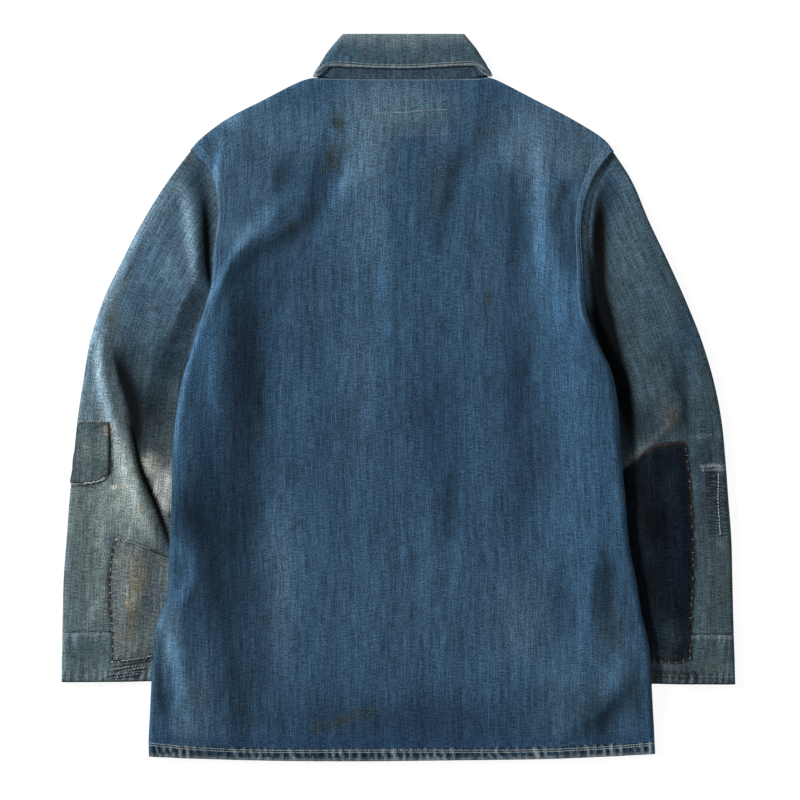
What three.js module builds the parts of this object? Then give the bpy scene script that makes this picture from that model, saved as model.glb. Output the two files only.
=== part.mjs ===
// A patched denim work jacket, laid face down on a flat surface with its back up.
// Millimetres. +X is right when looking down on the back, +Y runs from hem to collar and +Z is up.
// The surface it lies on is Z = 0, and the origin is under the middle of the garment.
import * as THREE from 'three';

const { clamp, lerp, smoothstep } = THREE.MathUtils;

// Cloth
const wall = 1.8; // denim with its seam allowances
const half = wall / 2;
const edgeGap = 0.5; // between panels that meet edge to edge
const lapGap = 0.3; // between layers that lie on each other
const layer = wall + lapGap;

// Layout
const centreX = 3.5; // the garment's own centre line, where its fronts close
const backLevel = 8.2; // middle of the back's wall where it lies on the closed fronts
const sleeveLevel = 3.6; // middle of a sleeve's upper wall where the body covers it
const feltBand = 9.5; // width of the felled armhole seam
const feltRise = 0.7;
const hemRise = 0.8;
const tuck = { atShoulder: 8, atArmpit: 22 }; // cloth turned under at the body's side edges
const armpitY = 58;
const cuffHeight = 55;
const cuffRise = 0.3;
const placket = { lap: 15, rampStart: 21, rampEnd: 51, leftRise: 2.7, rightRise: 5.1 };
const button = { radius: 8.5, thickness: 2.4, top: 262, pitch: 137, count: 5 };
const collar = { standLevel: 8.2, frontLevel: 3.0, standInset: 4.95, wingLength: 262 };

// Colours of the cloth where it's least stained
const colours = {
  body: 0x49698a, sleeve: 0x5c7f93, cuff: 0x587079, collar: 0x5a7787,
  patch: 0x6c7c80, darkPatch: 0x222d38, button: 0x8a6a3c,
};

// The outline as it lies, from hem to shoulder tip for the body and shoulder to cuff for the sleeves
const bodyEdge = {
  left: [[-275.6, -396], [-276, -380], [-272.8, -322], [-270.6, -284], [-268.4, -257], [-262.9, -241],
    [-254.1, -212], [-253, -174], [-250.8, -130], [-249.7, -91], [-247.5, -42], [-243.1, -7], [-237.6, 21],
    [-229.9, 45], [-222.2, 71], [-212.3, 102], [-206.8, 120], [-203.5, 161], [-199.1, 196], [-199.7, 217],
    [-204.6, 241], [-215.6, 257], [-229.9, 271.7]],
  right: [[282.4, -393], [280.5, -355], [278.3, -322], [277.2, -294], [273.9, -267], [267.3, -240],
    [260.7, -199], [254.1, -168], [248.6, -109], [244.2, -58], [239.8, 0], [233.2, 29], [223.3, 50],
    [213.4, 71], [205.7, 96], [203, 143], [201.3, 187], [206.8, 219], [218.9, 247.5], [236.5, 270.6]],
};
const hem = [[-275.6, -396], [-180, -399.5], [-80, -401], [60, -400], [180, -398], [282.4, -393]];
const shoulderLeft = [[-229.9, 271.7], [-220, 282.7], [-191.4, 304.7], [-149.6, 326.7], [-105.6, 348.5],
  [-90.5, 352]];
const neckline = [[-90.5, 352], [-75, 350.9], [11, 350.2], [84, 351], [98, 352.2]];
const shoulderRight = [[98, 352.2], [107.8, 348.7], [150.7, 326.7], [192.5, 304.7], [226.6, 282.7],
  [236.5, 270.6]];
const sleeveOutside = {
  left: [[-254.1, 238.7], [-281.6, 194.7], [-304.7, 150.7], [-325.6, 106.7], [-339.9, 62.7],
    [-347.6, 18.7], [-354.2, -25.3], [-358.6, -69.3], [-363, -113.3], [-366.3, -157.3], [-369.6, -201.3],
    [-370.7, -245.3], [-371.8, -314]],
  right: [[256.3, 238.7], [275, 194.7], [295.9, 150.7], [315.7, 106.7], [333.3, 62.7], [346.5, 18.7],
    [355.3, -25.3], [359.7, -69.3], [363, -113.3], [366.3, -157.3], [367.4, -201.3], [368.5, -245.3],
    [370.7, -316.5]],
};
const cuffInside = { left: [-234, -313], right: [233.7, -316] };

// Roll of the body's side edges: radius against distance up the garment
const sideRoll = {
  left: [[-400, 3.5], [-330, 5], [-250, 6], [40, 6.5], [100, 5], [200, 3], [272, 1.2]],
  right: [[-400, 3.5], [-330, 5], [-120, 6.5], [-40, 9], [40, 9], [110, 8], [190, 4], [271, 1.2]],
};
// Middle of the turned-under edge, which lies on the sleeve and its patches and then on the floor
const underEdge = [[-400, half], [-350, half], [-322, 7.6], [-65, 7.6], [-30, 6], [280, 6]];

// The largest folds: a soft ridge or trough along each line, width across it and height
const backFolds = [
  { line: [[150, 299], [168, 190], [172, 74]], width: 14, height: 2.5 },
  { line: [[181, 272], [194, 184]], width: 9, height: -2 },
  { line: [[-81, 239], [-120, 188], [-168, 156]], width: 22, height: -2 },
  { line: [[-168, 170], [-198, 125], [-211, 100]], width: 9, height: 4 },
  { line: [[-186, 117], [-188, 74]], width: 7, height: 1.5 },
  { line: [[-236, -270], [-236, -385]], width: 12, height: 3 },
  { line: [[-191, -285], [-196, -380]], width: 14, height: -1 },
  { line: [[272, -300], [229, -360], [190, -380]], width: 12, height: -2 },
];
const sleeveFolds = {
  left: [
    { line: [[-317, 125], [-329, 75], [-329, 38], [-323, 0], [-317, -21], [-309, -58]], width: 10, height: 4 },
    { line: [[-318, 60], [-308, 21], [-300, -21], [-293, -48]], width: 9, height: -3 },
    { line: [[-292, 0], [-285, -40], [-276, -70], [-266, -98], [-256, -124]], width: 10, height: 4.5 },
    { line: [[-304, -50], [-296, -85], [-282, -118], [-268, -144]], width: 8, height: -2.5 },
  ],
  right: [
    { line: [[306, 50], [314, 0], [321, -41]], width: 9, height: -4 },
    { line: [[312, -12], [290, -36], [262, -55]], width: 10, height: 4 },
    { line: [[338, -20], [333, -60], [335, -110]], width: 9, height: 2 },
  ],
};

// A smooth line in plan through its points
function path(points) {
  const corners = points.map(([x, y]) => new THREE.Vector3(x, y, 0));
  const curve = new THREE.CatmullRomCurve3(corners, false, 'centripetal');
  curve.arcLengthDivisions = 400;
  return curve;
}

// A chain of short straight pieces that can be walked by distance
function chain(points) {
  const reach = [0];
  for (let i = 1; i < points.length; i += 1) {
    reach.push(reach[i - 1] + points[i].distanceTo(points[i - 1]));
  }
  const length = reach[reach.length - 1];
  const at = (distance) => {
    let i = 1;
    while (i < points.length - 1 && reach[i] < distance) i += 1;
    const share = (distance - reach[i - 1]) / (reach[i] - reach[i - 1]);
    return points[i - 1].clone().lerp(points[i], share);
  };
  return { points, reach, length, at };
}

// A value read from a list of [place, value] pairs
function graph(stops, place) {
  if (place <= stops[0][0]) return stops[0][1];
  for (let i = 1; i < stops.length; i += 1) {
    const [a, from] = stops[i - 1];
    const [b, to] = stops[i];
    if (place <= b) return lerp(from, to, (place - a) / (b - a));
  }
  return stops[stops.length - 1][1];
}

// A surface in plan between four edge lines
function between(bottom, top, left, right) {
  const corners = [bottom(0), bottom(1), top(0), top(1)];
  return (u, v) => new THREE.Vector3()
    .addScaledVector(bottom(u), 1 - v)
    .addScaledVector(top(u), v)
    .addScaledVector(left(v), 1 - u)
    .addScaledVector(right(v), u)
    .addScaledVector(corners[0], -(1 - u) * (1 - v))
    .addScaledVector(corners[1], -u * (1 - v))
    .addScaledVector(corners[2], -(1 - u) * v)
    .addScaledVector(corners[3], -u * v);
}

// Distance from a plan point to a line of plan points, and how far along that line it is
function nearest(points, x, y) {
  let best = { distance: Infinity, along: 0 };
  for (let i = 1; i < points.length; i += 1) {
    const [ax, ay] = points[i - 1];
    const [bx, by] = points[i];
    const lengthSquared = (bx - ax) ** 2 + (by - ay) ** 2;
    const share = clamp(((x - ax) * (bx - ax) + (y - ay) * (by - ay)) / lengthSquared, 0, 1);
    const distance = Math.hypot(x - lerp(ax, bx, share), y - lerp(ay, by, share));
    if (distance < best.distance) best = { distance, along: (i - 1 + share) / (points.length - 1) };
  }
  return best;
}

function foldHeight(folds, x, y) {
  let height = 0;
  for (const fold of folds) {
    const { distance, along } = nearest(fold.line, x, y);
    const fade = Math.sin(Math.PI * clamp(0.1 + 0.8 * along, 0, 1)) ** 0.5;
    height += fold.height * fade * Math.exp(-((distance / fold.width) ** 2));
  }
  return height;
}

// Turns two matching grids of points into one closed solid
function slab(outer, inner, ring) {
  const rows = outer.length;
  const columns = outer[0].length;
  const wrap = ring ? columns : columns - 1;
  const positions = [];
  for (const grid of [outer, inner]) {
    for (const row of grid) {
      for (const point of row) positions.push(point.x, point.y, Math.max(point.z, 0));
    }
  }
  const skin = [];
  for (let j = 0; j < rows - 1; j += 1) {
    for (let i = 0; i < wrap; i += 1) {
      const a = j * columns + i;
      const b = j * columns + ((i + 1) % columns);
      const c = b + columns;
      const d = a + columns;
      skin.push([a, b, c], [a, c, d]);
    }
  }
  const inside = rows * columns;
  const open = new Map();
  for (const [a, b, c] of skin) {
    for (const [from, to] of [[a, b], [b, c], [c, a]]) {
      if (!open.delete(`${to}_${from}`)) open.set(`${from}_${to}`, [from, to]);
    }
  }
  const index = [];
  for (const [a, b, c] of skin) index.push(a, b, c, inside + a, inside + c, inside + b);
  for (const [from, to] of open.values()) {
    index.push(to, from, inside + from, to, inside + from, inside + to);
  }
  const geometry = new THREE.BufferGeometry();
  geometry.setAttribute('position', new THREE.Float32BufferAttribute(positions, 3));
  geometry.setIndex(index);
  geometry.computeVertexNormals();
  return geometry;
}

// Normals of a grid of points in the middle of the wall
function normalsOf(grid, ring) {
  const last = grid.length - 1;
  return grid.map((row, j) => row.map((point, i) => {
    const count = row.length;
    const before = ring ? row[(i + count - 1) % count] : row[Math.max(i - 1, 0)];
    const after = ring ? row[(i + 1) % count] : row[Math.min(i + 1, count - 1)];
    const across = after.clone().sub(before);
    const up = grid[Math.min(j + 1, last)][i].clone().sub(grid[Math.max(j - 1, 0)][i]);
    return across.cross(up).normalize();
  }));
}

function offset(grid, normals, distance) {
  return grid.map((row, j) => row.map((point, i) => (
    point.clone().addScaledVector(normals[j][i], distance(j, i))
  )));
}

// A wall round a grid whose normals face out of the garment
function clothWall(grid, { ring = false, rise = () => 0 } = {}) {
  const normals = normalsOf(grid, ring);
  const outer = offset(grid, normals, (j, i) => half + rise(j, i));
  const inner = offset(grid, normals, () => -half);
  return slab(outer, inner, ring);
}

const jacket = new THREE.Group();

function sew(name, geometry, colour, metalness = 0) {
  const material = new THREE.MeshStandardMaterial({ color: colour, roughness: 0.92, metalness });
  const mesh = new THREE.Mesh(geometry, material);
  mesh.name = name;
  jacket.add(mesh);
}

// Body: rows run across the garment from hem to shoulder line
const tally = (count, make) => Array.from({ length: count }, (item, i) => make(i));
const armpitShare = 0.68;
const rowStops = [
  0, 0.018, 0.024,
  ...tally(14, (i) => lerp(0.024, armpitShare, (i + 1) / 14)),
  ...tally(8, (i) => lerp(armpitShare, 0.974, (i + 1) / 8)),
  0.989, 0.996, 1,
];
const armpitRow = 16;
const topRow = rowStops.length - 1;
const rowPieces = 80; // across a row, of which each shoulder line takes its own
const shoulderPieces = 26;
const shoulderShare = shoulderPieces / rowPieces;

const hemPath = path(hem);
const edgePath = { left: path(bodyEdge.left), right: path(bodyEdge.right) };
const topPaths = [path(shoulderLeft), path(neckline), path(shoulderRight)];

function topLine(u) {
  if (u <= shoulderShare) return topPaths[0].getPointAt(u / shoulderShare);
  if (u < 1 - shoulderShare) return topPaths[1].getPointAt((u - shoulderShare) / (1 - 2 * shoulderShare));
  return topPaths[2].getPointAt((u - 1 + shoulderShare) / shoulderShare);
}

const bodyPlan = between(
  (u) => hemPath.getPointAt(u),
  topLine,
  (v) => edgePath.left.getPointAt(v),
  (v) => edgePath.right.getPointAt(v),
);
const bodyRows = rowStops.map((v) => chain(tally(rowPieces + 1, (i) => bodyPlan(i / rowPieces, v))));

const edgeSamples = {};
for (const side of ['left', 'right']) {
  edgeSamples[side] = edgePath[side].getSpacedPoints(240).map((point) => [point.y, point.x]);
}

// How far a plan point lies inside the body's side edge
function insideEdge(side, x, y) {
  const edge = graph(edgeSamples[side], y);
  return side === 'left' ? x - edge : edge - x;
}

const rollRadius = (side, y) => graph(sideRoll[side], y);
const rollCentre = (side, y) => rollRadius(side, y) + half;
const underLevel = (y) => graph(underEdge, y);
const edgeTop = (side, y) => underLevel(y) + 2 * rollRadius(side, y);

// Width of the cloth turned under, from the side edge to the side or armhole seam
function tuckWidth(side, y) {
  const width = lerp(tuck.atArmpit, tuck.atShoulder, smoothstep(y, armpitY, 150));
  return Math.max(width, rollCentre(side, y) + 4);
}

// A row's point at a distance in from one side edge
function fromSide(row, side, distance) {
  return row.at(side === 'left' ? distance : row.length - distance);
}

const rowEdgeY = (side, j) => fromSide(bodyRows[j], side, 0).y;

// Shoulder lines, where back and front curve together
const shoulderSamples = [topPaths[0], topPaths[2]].map((line) => (
  line.getSpacedPoints(40).map((point) => [point.x, point.y])
));

function shoulderShape(x, y) {
  const samples = x < centreX ? shoulderSamples[0] : shoulderSamples[1];
  const tip = x < centreX ? samples[0] : samples[samples.length - 1];
  const neck = x < centreX ? samples[samples.length - 1] : samples[0];
  const { distance } = nearest(samples, x, y);
  const near = (1 - Math.min(1, distance / 14)) ** 2.2;
  const toTip = Math.hypot(x - tip[0], y - tip[1]);
  const toNeck = Math.hypot(x - neck[0], y - neck[1]);
  const level = 5.5 + 2.9 * (1 - smoothstep(toTip, 12, 40)) + 2.1 * (1 - smoothstep(toNeck, 8, 30));
  return { near, level };
}

// Middle of a front's wall: it climbs over the sleeve, over the collar's points and at the closing
function frontBase(side, x, y) {
  const overSleeve = (underLevel(y) - half) * (1 - smoothstep(y, 98, 150))
    * (1 - smoothstep(insideEdge(side, x, y), 50, 95));
  const outFromCentre = Math.abs(x - centreX);
  const overCollar = layer * smoothstep(y, 205, 232) * (1 - smoothstep(outFromCentre, 120, 148));
  const outward = side === 'left' ? centreX - x : x - centreX;
  const rise = side === 'left' ? placket.leftRise : placket.rightRise;
  const closing = rise * (1 - smoothstep(outward, placket.rampStart, placket.rampEnd));
  return half + Math.max(overSleeve, overCollar, closing);
}

function frontHeight(side, x, y) {
  const { near, level } = shoulderShape(x, y);
  return lerp(frontBase(side, x, y), level - layer - 0.3, near);
}

function backHeight(x, y, fromLeft, fromRight) {
  const inLeft = fromLeft - rollCentre('left', y);
  const inRight = fromRight - rollCentre('right', y);
  let z = backLevel;
  z += (edgeTop('left', y) - backLevel) * (1 - smoothstep(inLeft, 0, 110));
  z += (edgeTop('right', y) - backLevel) * (1 - smoothstep(inRight, 0, 110));
  const free = smoothstep(inLeft, 0, 14) * smoothstep(inRight, 0, 14);
  z += foldHeight(backFolds, x, y) * free * (1 - smoothstep(y, 300, 340));
  if (x < centreX + placket.lap + 4) z = Math.max(z, frontBase('left', x, y) + layer);
  if (x > centreX - placket.lap - 4) z = Math.max(z, frontBase('right', x, y) + layer);
  const { near, level } = shoulderShape(x, y);
  return lerp(z, level, near);
}

const rollSteps = 3;
const topColumns = 20;

// One row of the back: turned under on the left, over the top, and turned under on the right
function backRow(row) {
  const points = [];
  const rises = [];
  const yLeft = fromSide(row, 'left', 0).y;
  const yRight = fromSide(row, 'right', 0).y;
  const raised = (side, distance, y) => (
    y > armpitY - 10 && distance <= Math.max(feltBand, rollCentre(side, y) + 3) + 0.01
  );
  const place = (side, distance, z, rise) => {
    const point = fromSide(row, side, distance);
    point.z = z;
    points.push(point);
    rises.push(rise);
  };
  const turned = (side, y) => {
    const centre = rollCentre(side, y);
    const radius = rollRadius(side, y);
    const width = tuckWidth(side, y);
    const under = underLevel(y);
    const list = [
      [width, under],
      [lerp(width, centre, 0.5), under],
      [centre, under],
    ];
    for (let k = 1; k < rollSteps; k += 1) {
      const angle = Math.PI * k / rollSteps;
      list.push([centre - radius * Math.sin(angle), under + radius * (1 - Math.cos(angle))]);
    }
    return list;
  };
  for (const [distance, z] of turned('left', yLeft)) place('left', distance, z, 0);
  const startLeft = rollCentre('left', yLeft);
  const startRight = rollCentre('right', yRight);
  const bandLeft = Math.max(feltBand, startLeft + 3);
  const bandRight = Math.max(feltBand, startRight + 3);
  const stops = [startLeft, bandLeft, bandLeft + 2.5];
  for (let i = 1; i < topColumns; i += 1) {
    stops.push(lerp(bandLeft + 2.5, row.length - bandRight - 2.5, i / topColumns));
  }
  stops.push(row.length - bandRight - 2.5, row.length - bandRight, row.length - startRight);
  for (const distance of stops) {
    const point = row.at(distance);
    const z = backHeight(point.x, point.y, distance, row.length - distance);
    const inBand = raised('left', distance, yLeft) || raised('right', row.length - distance, yRight);
    place('left', distance, z, inBand ? feltRise : 0);
  }
  for (const [distance, z] of turned('right', yRight).reverse()) place('right', distance, z, 0);
  return { points, rises };
}

function makeBack() {
  const rows = bodyRows.map(backRow);
  const grid = rows.map((row) => row.points);
  const last = grid[0].length - 1;
  const turnedCount = 3 + rollSteps - 1;
  const rise = (j, i) => {
    const onTop = i >= turnedCount && i <= last - turnedCount;
    const hemBand = j <= 1 && onTop ? hemRise : 0;
    return rows[j].rises[i] + hemBand;
  };
  sew('back', clothWall(grid, { rise }), colours.body);
}

// Fronts: from the side seam to the closing edge, with the neckline cut lower than the back's
const mirror = (x) => 2 * centreX - x;
const frontNeck = [[-90.5, 352], [-92, 300.4], [-6, 290.8]];
const frontColumns = [0, 0.14, 0.28, 0.42, 0.5, 0.58, 0.67, 0.77, 0.88, 1];
const neckColumn = 0.42;

function bendThrough(points, share) {
  const [a, b, c] = points.map(([x, y]) => new THREE.Vector3(x, y, 0));
  return new THREE.QuadraticBezierCurve3(a, b, c).getPoint(share);
}

function makeFront(side) {
  const isLeft = side === 'left';
  const closingX = isLeft ? centreX + placket.lap : centreX - placket.lap;
  const toSide = (point) => (isLeft ? point : new THREE.Vector3(mirror(point.x), point.y, 0));
  const seam = bodyRows.map((row, j) => {
    const width = tuckWidth(side, rowEdgeY(side, j));
    return fromSide(row, side, width + edgeGap);
  });
  const hemRow = bodyRows[0];
  const hemWidth = tuckWidth(side, rowEdgeY(side, 0)) + edgeGap;
  const closingDistance = isLeft
    ? closingX - hemRow.points[0].x
    : hemRow.points[rowPieces].x - closingX;
  const bottom = (u) => fromSide(hemRow, side, lerp(hemWidth, closingDistance, u));
  const shoulder = bodyRows[topRow];
  const shoulderStart = tuckWidth(side, rowEdgeY(side, topRow)) + edgeGap;
  const neckIndex = isLeft ? shoulderPieces : rowPieces - shoulderPieces;
  const neckReach = isLeft ? shoulder.reach[neckIndex] : shoulder.length - shoulder.reach[neckIndex];
  const neckEndY = 290.6;
  const neckPoints = tally(13, (i) => toSide(bendThrough(frontNeck, i / 12)));
  neckPoints.push(new THREE.Vector3(closingX, neckEndY, 0));
  const neck = chain(neckPoints);
  const top = (u) => {
    if (u <= neckColumn) return fromSide(shoulder, side, lerp(shoulderStart, neckReach, u / neckColumn));
    return neck.at(neck.length * (u - neckColumn) / (1 - neckColumn));
  };
  const seamAt = (v) => seam[rowStops.indexOf(v)];
  const closing = (v) => new THREE.Vector3(closingX, lerp(bottom(1).y, neckEndY, v), 0);
  const plan = between(bottom, top, (v) => seamAt(v), closing);
  const grid = rowStops.map((v) => frontColumns.map((u) => {
    const point = plan(u, v);
    point.z = frontHeight(side, point.x, point.y);
    return point;
  }));
  if (isLeft) grid.forEach((row) => row.reverse());
  sew(`front_${side}`, clothWall(grid), colours.body);
}

// Sleeves: flattened tubes whose rings run from the outer edge to the inner one
const upperColumns = 13;
const ringSteps = { outer: 4, inner: 3 };
const sleeveRings = 18;
const cuffRings = 3;
const elbow = { along: 0.57, inner: 0.26 };
const innerRadius = (sleeveLevel - half) / 2;

function makeSleeveShape(side) {
  const armhole = chain(tally(topRow - armpitRow + 1, (k) => {
    const j = topRow - k;
    return fromSide(bodyRows[j], side, tuckWidth(side, rowEdgeY(side, j)));
  }));
  const shoulderTip = armhole.points[0];
  const outside = path([[shoulderTip.x, shoulderTip.y], ...sleeveOutside[side]]);
  const armpit = armhole.points[armhole.points.length - 1];
  const insideEnd = new THREE.Vector3(...cuffInside[side], 0);
  const outsideLength = outside.getLength();
  const insideLength = armpit.distanceTo(insideEnd);
  const cuffStart = 1 - cuffHeight / outsideLength;
  const insideShares = [
    [0, 0], [elbow.along, elbow.inner], [cuffStart, 1 - cuffHeight / insideLength], [1, 1],
  ];
  const plan = between(
    (u) => armhole.at(u * armhole.length),
    (u) => outside.getPointAt(1).clone().lerp(insideEnd, u),
    (t) => outside.getPointAt(t),
    (t) => armpit.clone().lerp(insideEnd, graph(insideShares, t)),
  );
  // The armhole's lower half meets the front at the same points as the front's own rows
  const lowerStops = armhole.reach.slice(1, -1).map((distance) => distance / armhole.length);
  const meeting = lowerStops.filter((stop, k) => k > 1);
  const planStops = [0, ...lowerStops, 1];

  const upperHeight = (x, y, along, across) => {
    const outOfBody = -insideEdge(side, x, Math.min(y, 271));
    const edgeRadius = graph([[0, 1.4], [0.12, 4.5], [0.3, 5.2], [1, 4.2]], along);
    const crown = graph([[0, 0], [0.2, 4], [0.85, 3], [1, 1]], along) * Math.sin(Math.PI * across);
    const free = smoothstep(across, 0, 0.1);
    const full = half + 2 * edgeRadius + crown + foldHeight(sleeveFolds[side], x, y) * free;
    return lerp(sleeveLevel, full, smoothstep(outOfBody, 0, 38));
  };

  const ring = (t) => {
    const row = chain(planStops.map((u) => plan(u, t)));
    const start = row.at(6);
    const outerRadius = (upperHeight(start.x, start.y, t, 0) - half) / 2;
    const from = outerRadius + half;
    const to = row.length - innerRadius - half;
    const points = [];
    const place = (distance, z) => {
      const point = row.at(distance);
      point.z = z;
      points.push(point);
    };
    place(from, half + 2 * outerRadius);
    for (let i = 1; i < upperColumns; i += 1) {
      const distance = lerp(from, to, i / upperColumns);
      const point = row.at(distance);
      place(distance, upperHeight(point.x, point.y, t, i / upperColumns));
    }
    for (let k = 0; k <= ringSteps.inner; k += 1) {
      const angle = Math.PI * k / ringSteps.inner;
      place(to + innerRadius * Math.sin(angle), half + innerRadius * (1 + Math.cos(angle)));
    }
    for (const stop of [...meeting].reverse()) {
      place(clamp(stop * row.length, from + 1, to - 1), half);
    }
    for (let k = 0; k < ringSteps.outer; k += 1) {
      const angle = Math.PI * k / ringSteps.outer;
      place(from - outerRadius * Math.sin(angle), half + outerRadius * (1 - Math.cos(angle)));
    }
    // Rings are ordered so that normals face out on both sides
    return side === 'left' ? points.reverse() : points;
  };
  return { ring, cuffStart };
}

const cuffGap = edgeGap / 613; // share of the sleeve's length

function makeSleeve(side) {
  const { ring, cuffStart } = makeSleeveShape(side);
  const sleeveStops = tally(sleeveRings + 1, (i) => cuffStart * i / sleeveRings);
  const cuffStops = tally(cuffRings + 1, (i) => lerp(cuffStart + cuffGap, 1, i / cuffRings));
  const sleeveGrid = sleeveStops.map(ring);
  const cuffGrid = cuffStops.map(ring);
  sew(`sleeve_${side}`, clothWall(sleeveGrid, { ring: true }), colours.sleeve);
  const onTop = (i) => {
    const place = side === 'left' ? cuffGrid[0].length - 1 - i : i;
    return place <= upperColumns;
  };
  const rise = (j, i) => (onTop(i) ? cuffRise : 0);
  sew(`cuff_${side}`, clothWall(cuffGrid, { ring: true, rise }), colours.cuff);
  return [...sleeveGrid, ...cuffGrid];
}

// Patches: laid on a sleeve's own points and moved out from them
function makePatch(name, sleeveGrid, side, corners, cells, colour) {
  const normals = normalsOf(sleeveGrid, true);
  const lift = half + cuffRise + 2 * lapGap;
  const thick = 1;
  const columns = upperColumns + 1;
  const firstColumn = side === 'left' ? sleeveGrid[0].length - columns : 0;
  const layerAt = (distance) => sleeveGrid.map((row, j) => tally(columns, (i) => {
    const k = firstColumn + i;
    return row[k].clone().addScaledVector(normals[j][k], distance);
  }));
  const flat = layerAt(0);
  // Finds the facet of the sleeve that a plan point lies on, as corners and their weights
  const locate = (x, y) => {
    for (let j = 0; j < flat.length - 1; j += 1) {
      for (let i = 0; i < columns - 1; i += 1) {
        for (const corner of [[0, 1], [1, 0]]) {
          const facet = [[j, i], [j + corner[0], i + corner[1]], [j + 1, i + 1]];
          const [a, b, c] = facet.map(([row, column]) => flat[row][column]);
          const area = (b.x - a.x) * (c.y - a.y) - (c.x - a.x) * (b.y - a.y);
          const second = ((x - a.x) * (c.y - a.y) - (c.x - a.x) * (y - a.y)) / area;
          const third = ((b.x - a.x) * (y - a.y) - (x - a.x) * (b.y - a.y)) / area;
          if (Math.min(second, third, 1 - second - third) >= -1e-6) {
            return { facet, weights: [1 - second - third, second, third] };
          }
        }
      }
    }
    throw new Error(`${name} leaves its sleeve at ${x}, ${y}`);
  };
  const sample = (grid, { facet, weights }) => facet.reduce((sum, [row, column], k) => (
    sum.addScaledVector(grid[row][column], weights[k])
  ), new THREE.Vector3());
  const [topLeft, topRight, lowRight, lowLeft] = corners;
  const places = tally(cells[1] + 1, (b) => tally(cells[0] + 1, (a) => {
    const u = a / cells[0];
    const v = 1 - b / cells[1];
    const x = lerp(lerp(topLeft[0], topRight[0], u), lerp(lowLeft[0], lowRight[0], u), v);
    const y = lerp(lerp(topLeft[1], topRight[1], u), lerp(lowLeft[1], lowRight[1], u), v);
    return locate(x, y);
  }));
  const pick = (grid) => places.map((row) => row.map((place) => sample(grid, place)));
  sew(name, slab(pick(layerAt(lift + thick)), pick(layerAt(lift)), false), colour);
}

// Collar: a leaf that rolls over a stand, both wrapping from the back round to the front
const foldLine = {
  left: path([[-62.7, 399], [-80.3, 377.3], [-91.3, 359.7], [-95.7, 353.2]]),
  right: path([[72.6, 399], [88, 379.5], [99, 361.9], [103.4, 353.5]]),
};
const collarColumns = { back: 16, roll: 4, front: 7 };

function collarRow({ fold, inset, level, frontLevel, backY, frontBend, frontEnd }) {
  const radius = (level - frontLevel) / 2;
  const centreLeft = fold.left.x + inset + radius;
  const centreRight = fold.right.x - inset - radius;
  const middle = frontLevel + radius;
  const frontPart = (isLeft) => tally(collarColumns.front, (i) => {
    const start = [isLeft ? centreLeft : mirror(centreRight), fold[isLeft ? 'left' : 'right'].y];
    const point = bendThrough([start, frontBend, frontEnd], 1 - i / collarColumns.front);
    return new THREE.Vector3(isLeft ? point.x : mirror(point.x), point.y, frontLevel);
  });
  const rollPart = (isLeft) => tally(collarColumns.roll, (k) => {
    const angle = Math.PI * k / collarColumns.roll;
    const x = isLeft ? centreLeft - radius * Math.sin(angle) : centreRight + radius * Math.sin(angle);
    return new THREE.Vector3(x, fold[isLeft ? 'left' : 'right'].y, middle - radius * Math.cos(angle));
  });
  const backPart = tally(collarColumns.back + 1, (i) => {
    const share = i / collarColumns.back;
    return new THREE.Vector3(lerp(centreLeft, centreRight, share), backY(share), level);
  });
  return [
    ...frontPart(true), ...rollPart(true), ...backPart,
    ...rollPart(false).reverse(), ...frontPart(false).reverse(),
  ];
}

function makeCollar() {
  const lift = (share) => smoothstep(share, 0, 0.12) * (1 - smoothstep(share, 0.88, 1));
  const mix = (a, b, share) => [lerp(a[0], b[0], share), lerp(a[1], b[1], share)];
  const foldAt = (share) => ({
    left: foldLine.left.getPointAt(share), right: foldLine.right.getPointAt(share),
  });
  const rollFront = { bend: [-50, 338], end: [-4.5, 300] };
  const leafLevels = [[0, 9.9], [0.05, 11.9], [0.3, 12.2], [0.7, 11.4], [1, 10.6]];
  const leafRows = leafLevels.map(([share, level]) => {
    const fold = foldAt(share);
    return collarRow({
      fold,
      inset: half,
      level,
      frontLevel: half,
      backY: (across) => lerp(fold.left.y, fold.right.y, across) + 9.5 * share * lift(across),
      frontBend: mix(rollFront.bend, [-100, 302], share),
      frontEnd: mix(rollFront.end, [-74.5, collar.wingLength], share),
    });
  });
  leafRows.reverse();
  sew('collar_leaf', clothWall(leafRows), colours.collar);

  const standRows = [0, 0.35, 0.7, 1].map((share) => {
    const fold = foldAt(1 - share);
    return collarRow({
      fold,
      inset: collar.standInset,
      level: collar.standLevel,
      frontLevel: collar.frontLevel,
      backY: (across) => lerp(fold.left.y, fold.right.y, across) - 1.6 * (1 - share) * lift(across) - share,
      frontBend: mix([-84.5, 304.5], rollFront.bend, share),
      frontEnd: mix([-4.5, 292], rollFront.end, share),
    });
  });
  sew('collar_stand', clothWall(standRows), colours.collar);
}

// Buttons lie face down between the closed fronts and the floor
function makeButtons() {
  const { radius, thickness } = button;
  const profile = [[0, 0], [radius - 0.6, 0], [radius, 1.2], [radius - 0.9, thickness], [0, thickness]];
  for (let k = 0; k < button.count; k += 1) {
    const geometry = new THREE.LatheGeometry(profile.map(([x, y]) => new THREE.Vector2(x, y)), 14);
    geometry.rotateX(Math.PI / 2);
    geometry.translate(centreX, button.top - button.pitch * k, 0);
    sew(`button_${k + 1}`, geometry, colours.button, 0.6);
  }
}

makeBack();
makeFront('left');
makeFront('right');
const leftArm = makeSleeve('left');
const rightArm = makeSleeve('right');
makePatch('patch_left_elbow', leftArm, 'left',
  [[-347, -27.5], [-318.8, -27.5], [-318.2, -86.5], [-355, -94]], [5, 8], colours.patch);
makePatch('patch_left_forearm', leftArm, 'left',
  [[-310.5, -157.5], [-246, -180], [-262, -284], [-315, -291]], [7, 12], colours.patch);
makePatch('patch_right_forearm', rightArm, 'right',
  [[242, -84], [316, -50], [321, -288], [268, -291]], [8, 20], colours.darkPatch);
makeCollar();
makeButtons();

export default jacket;
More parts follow.
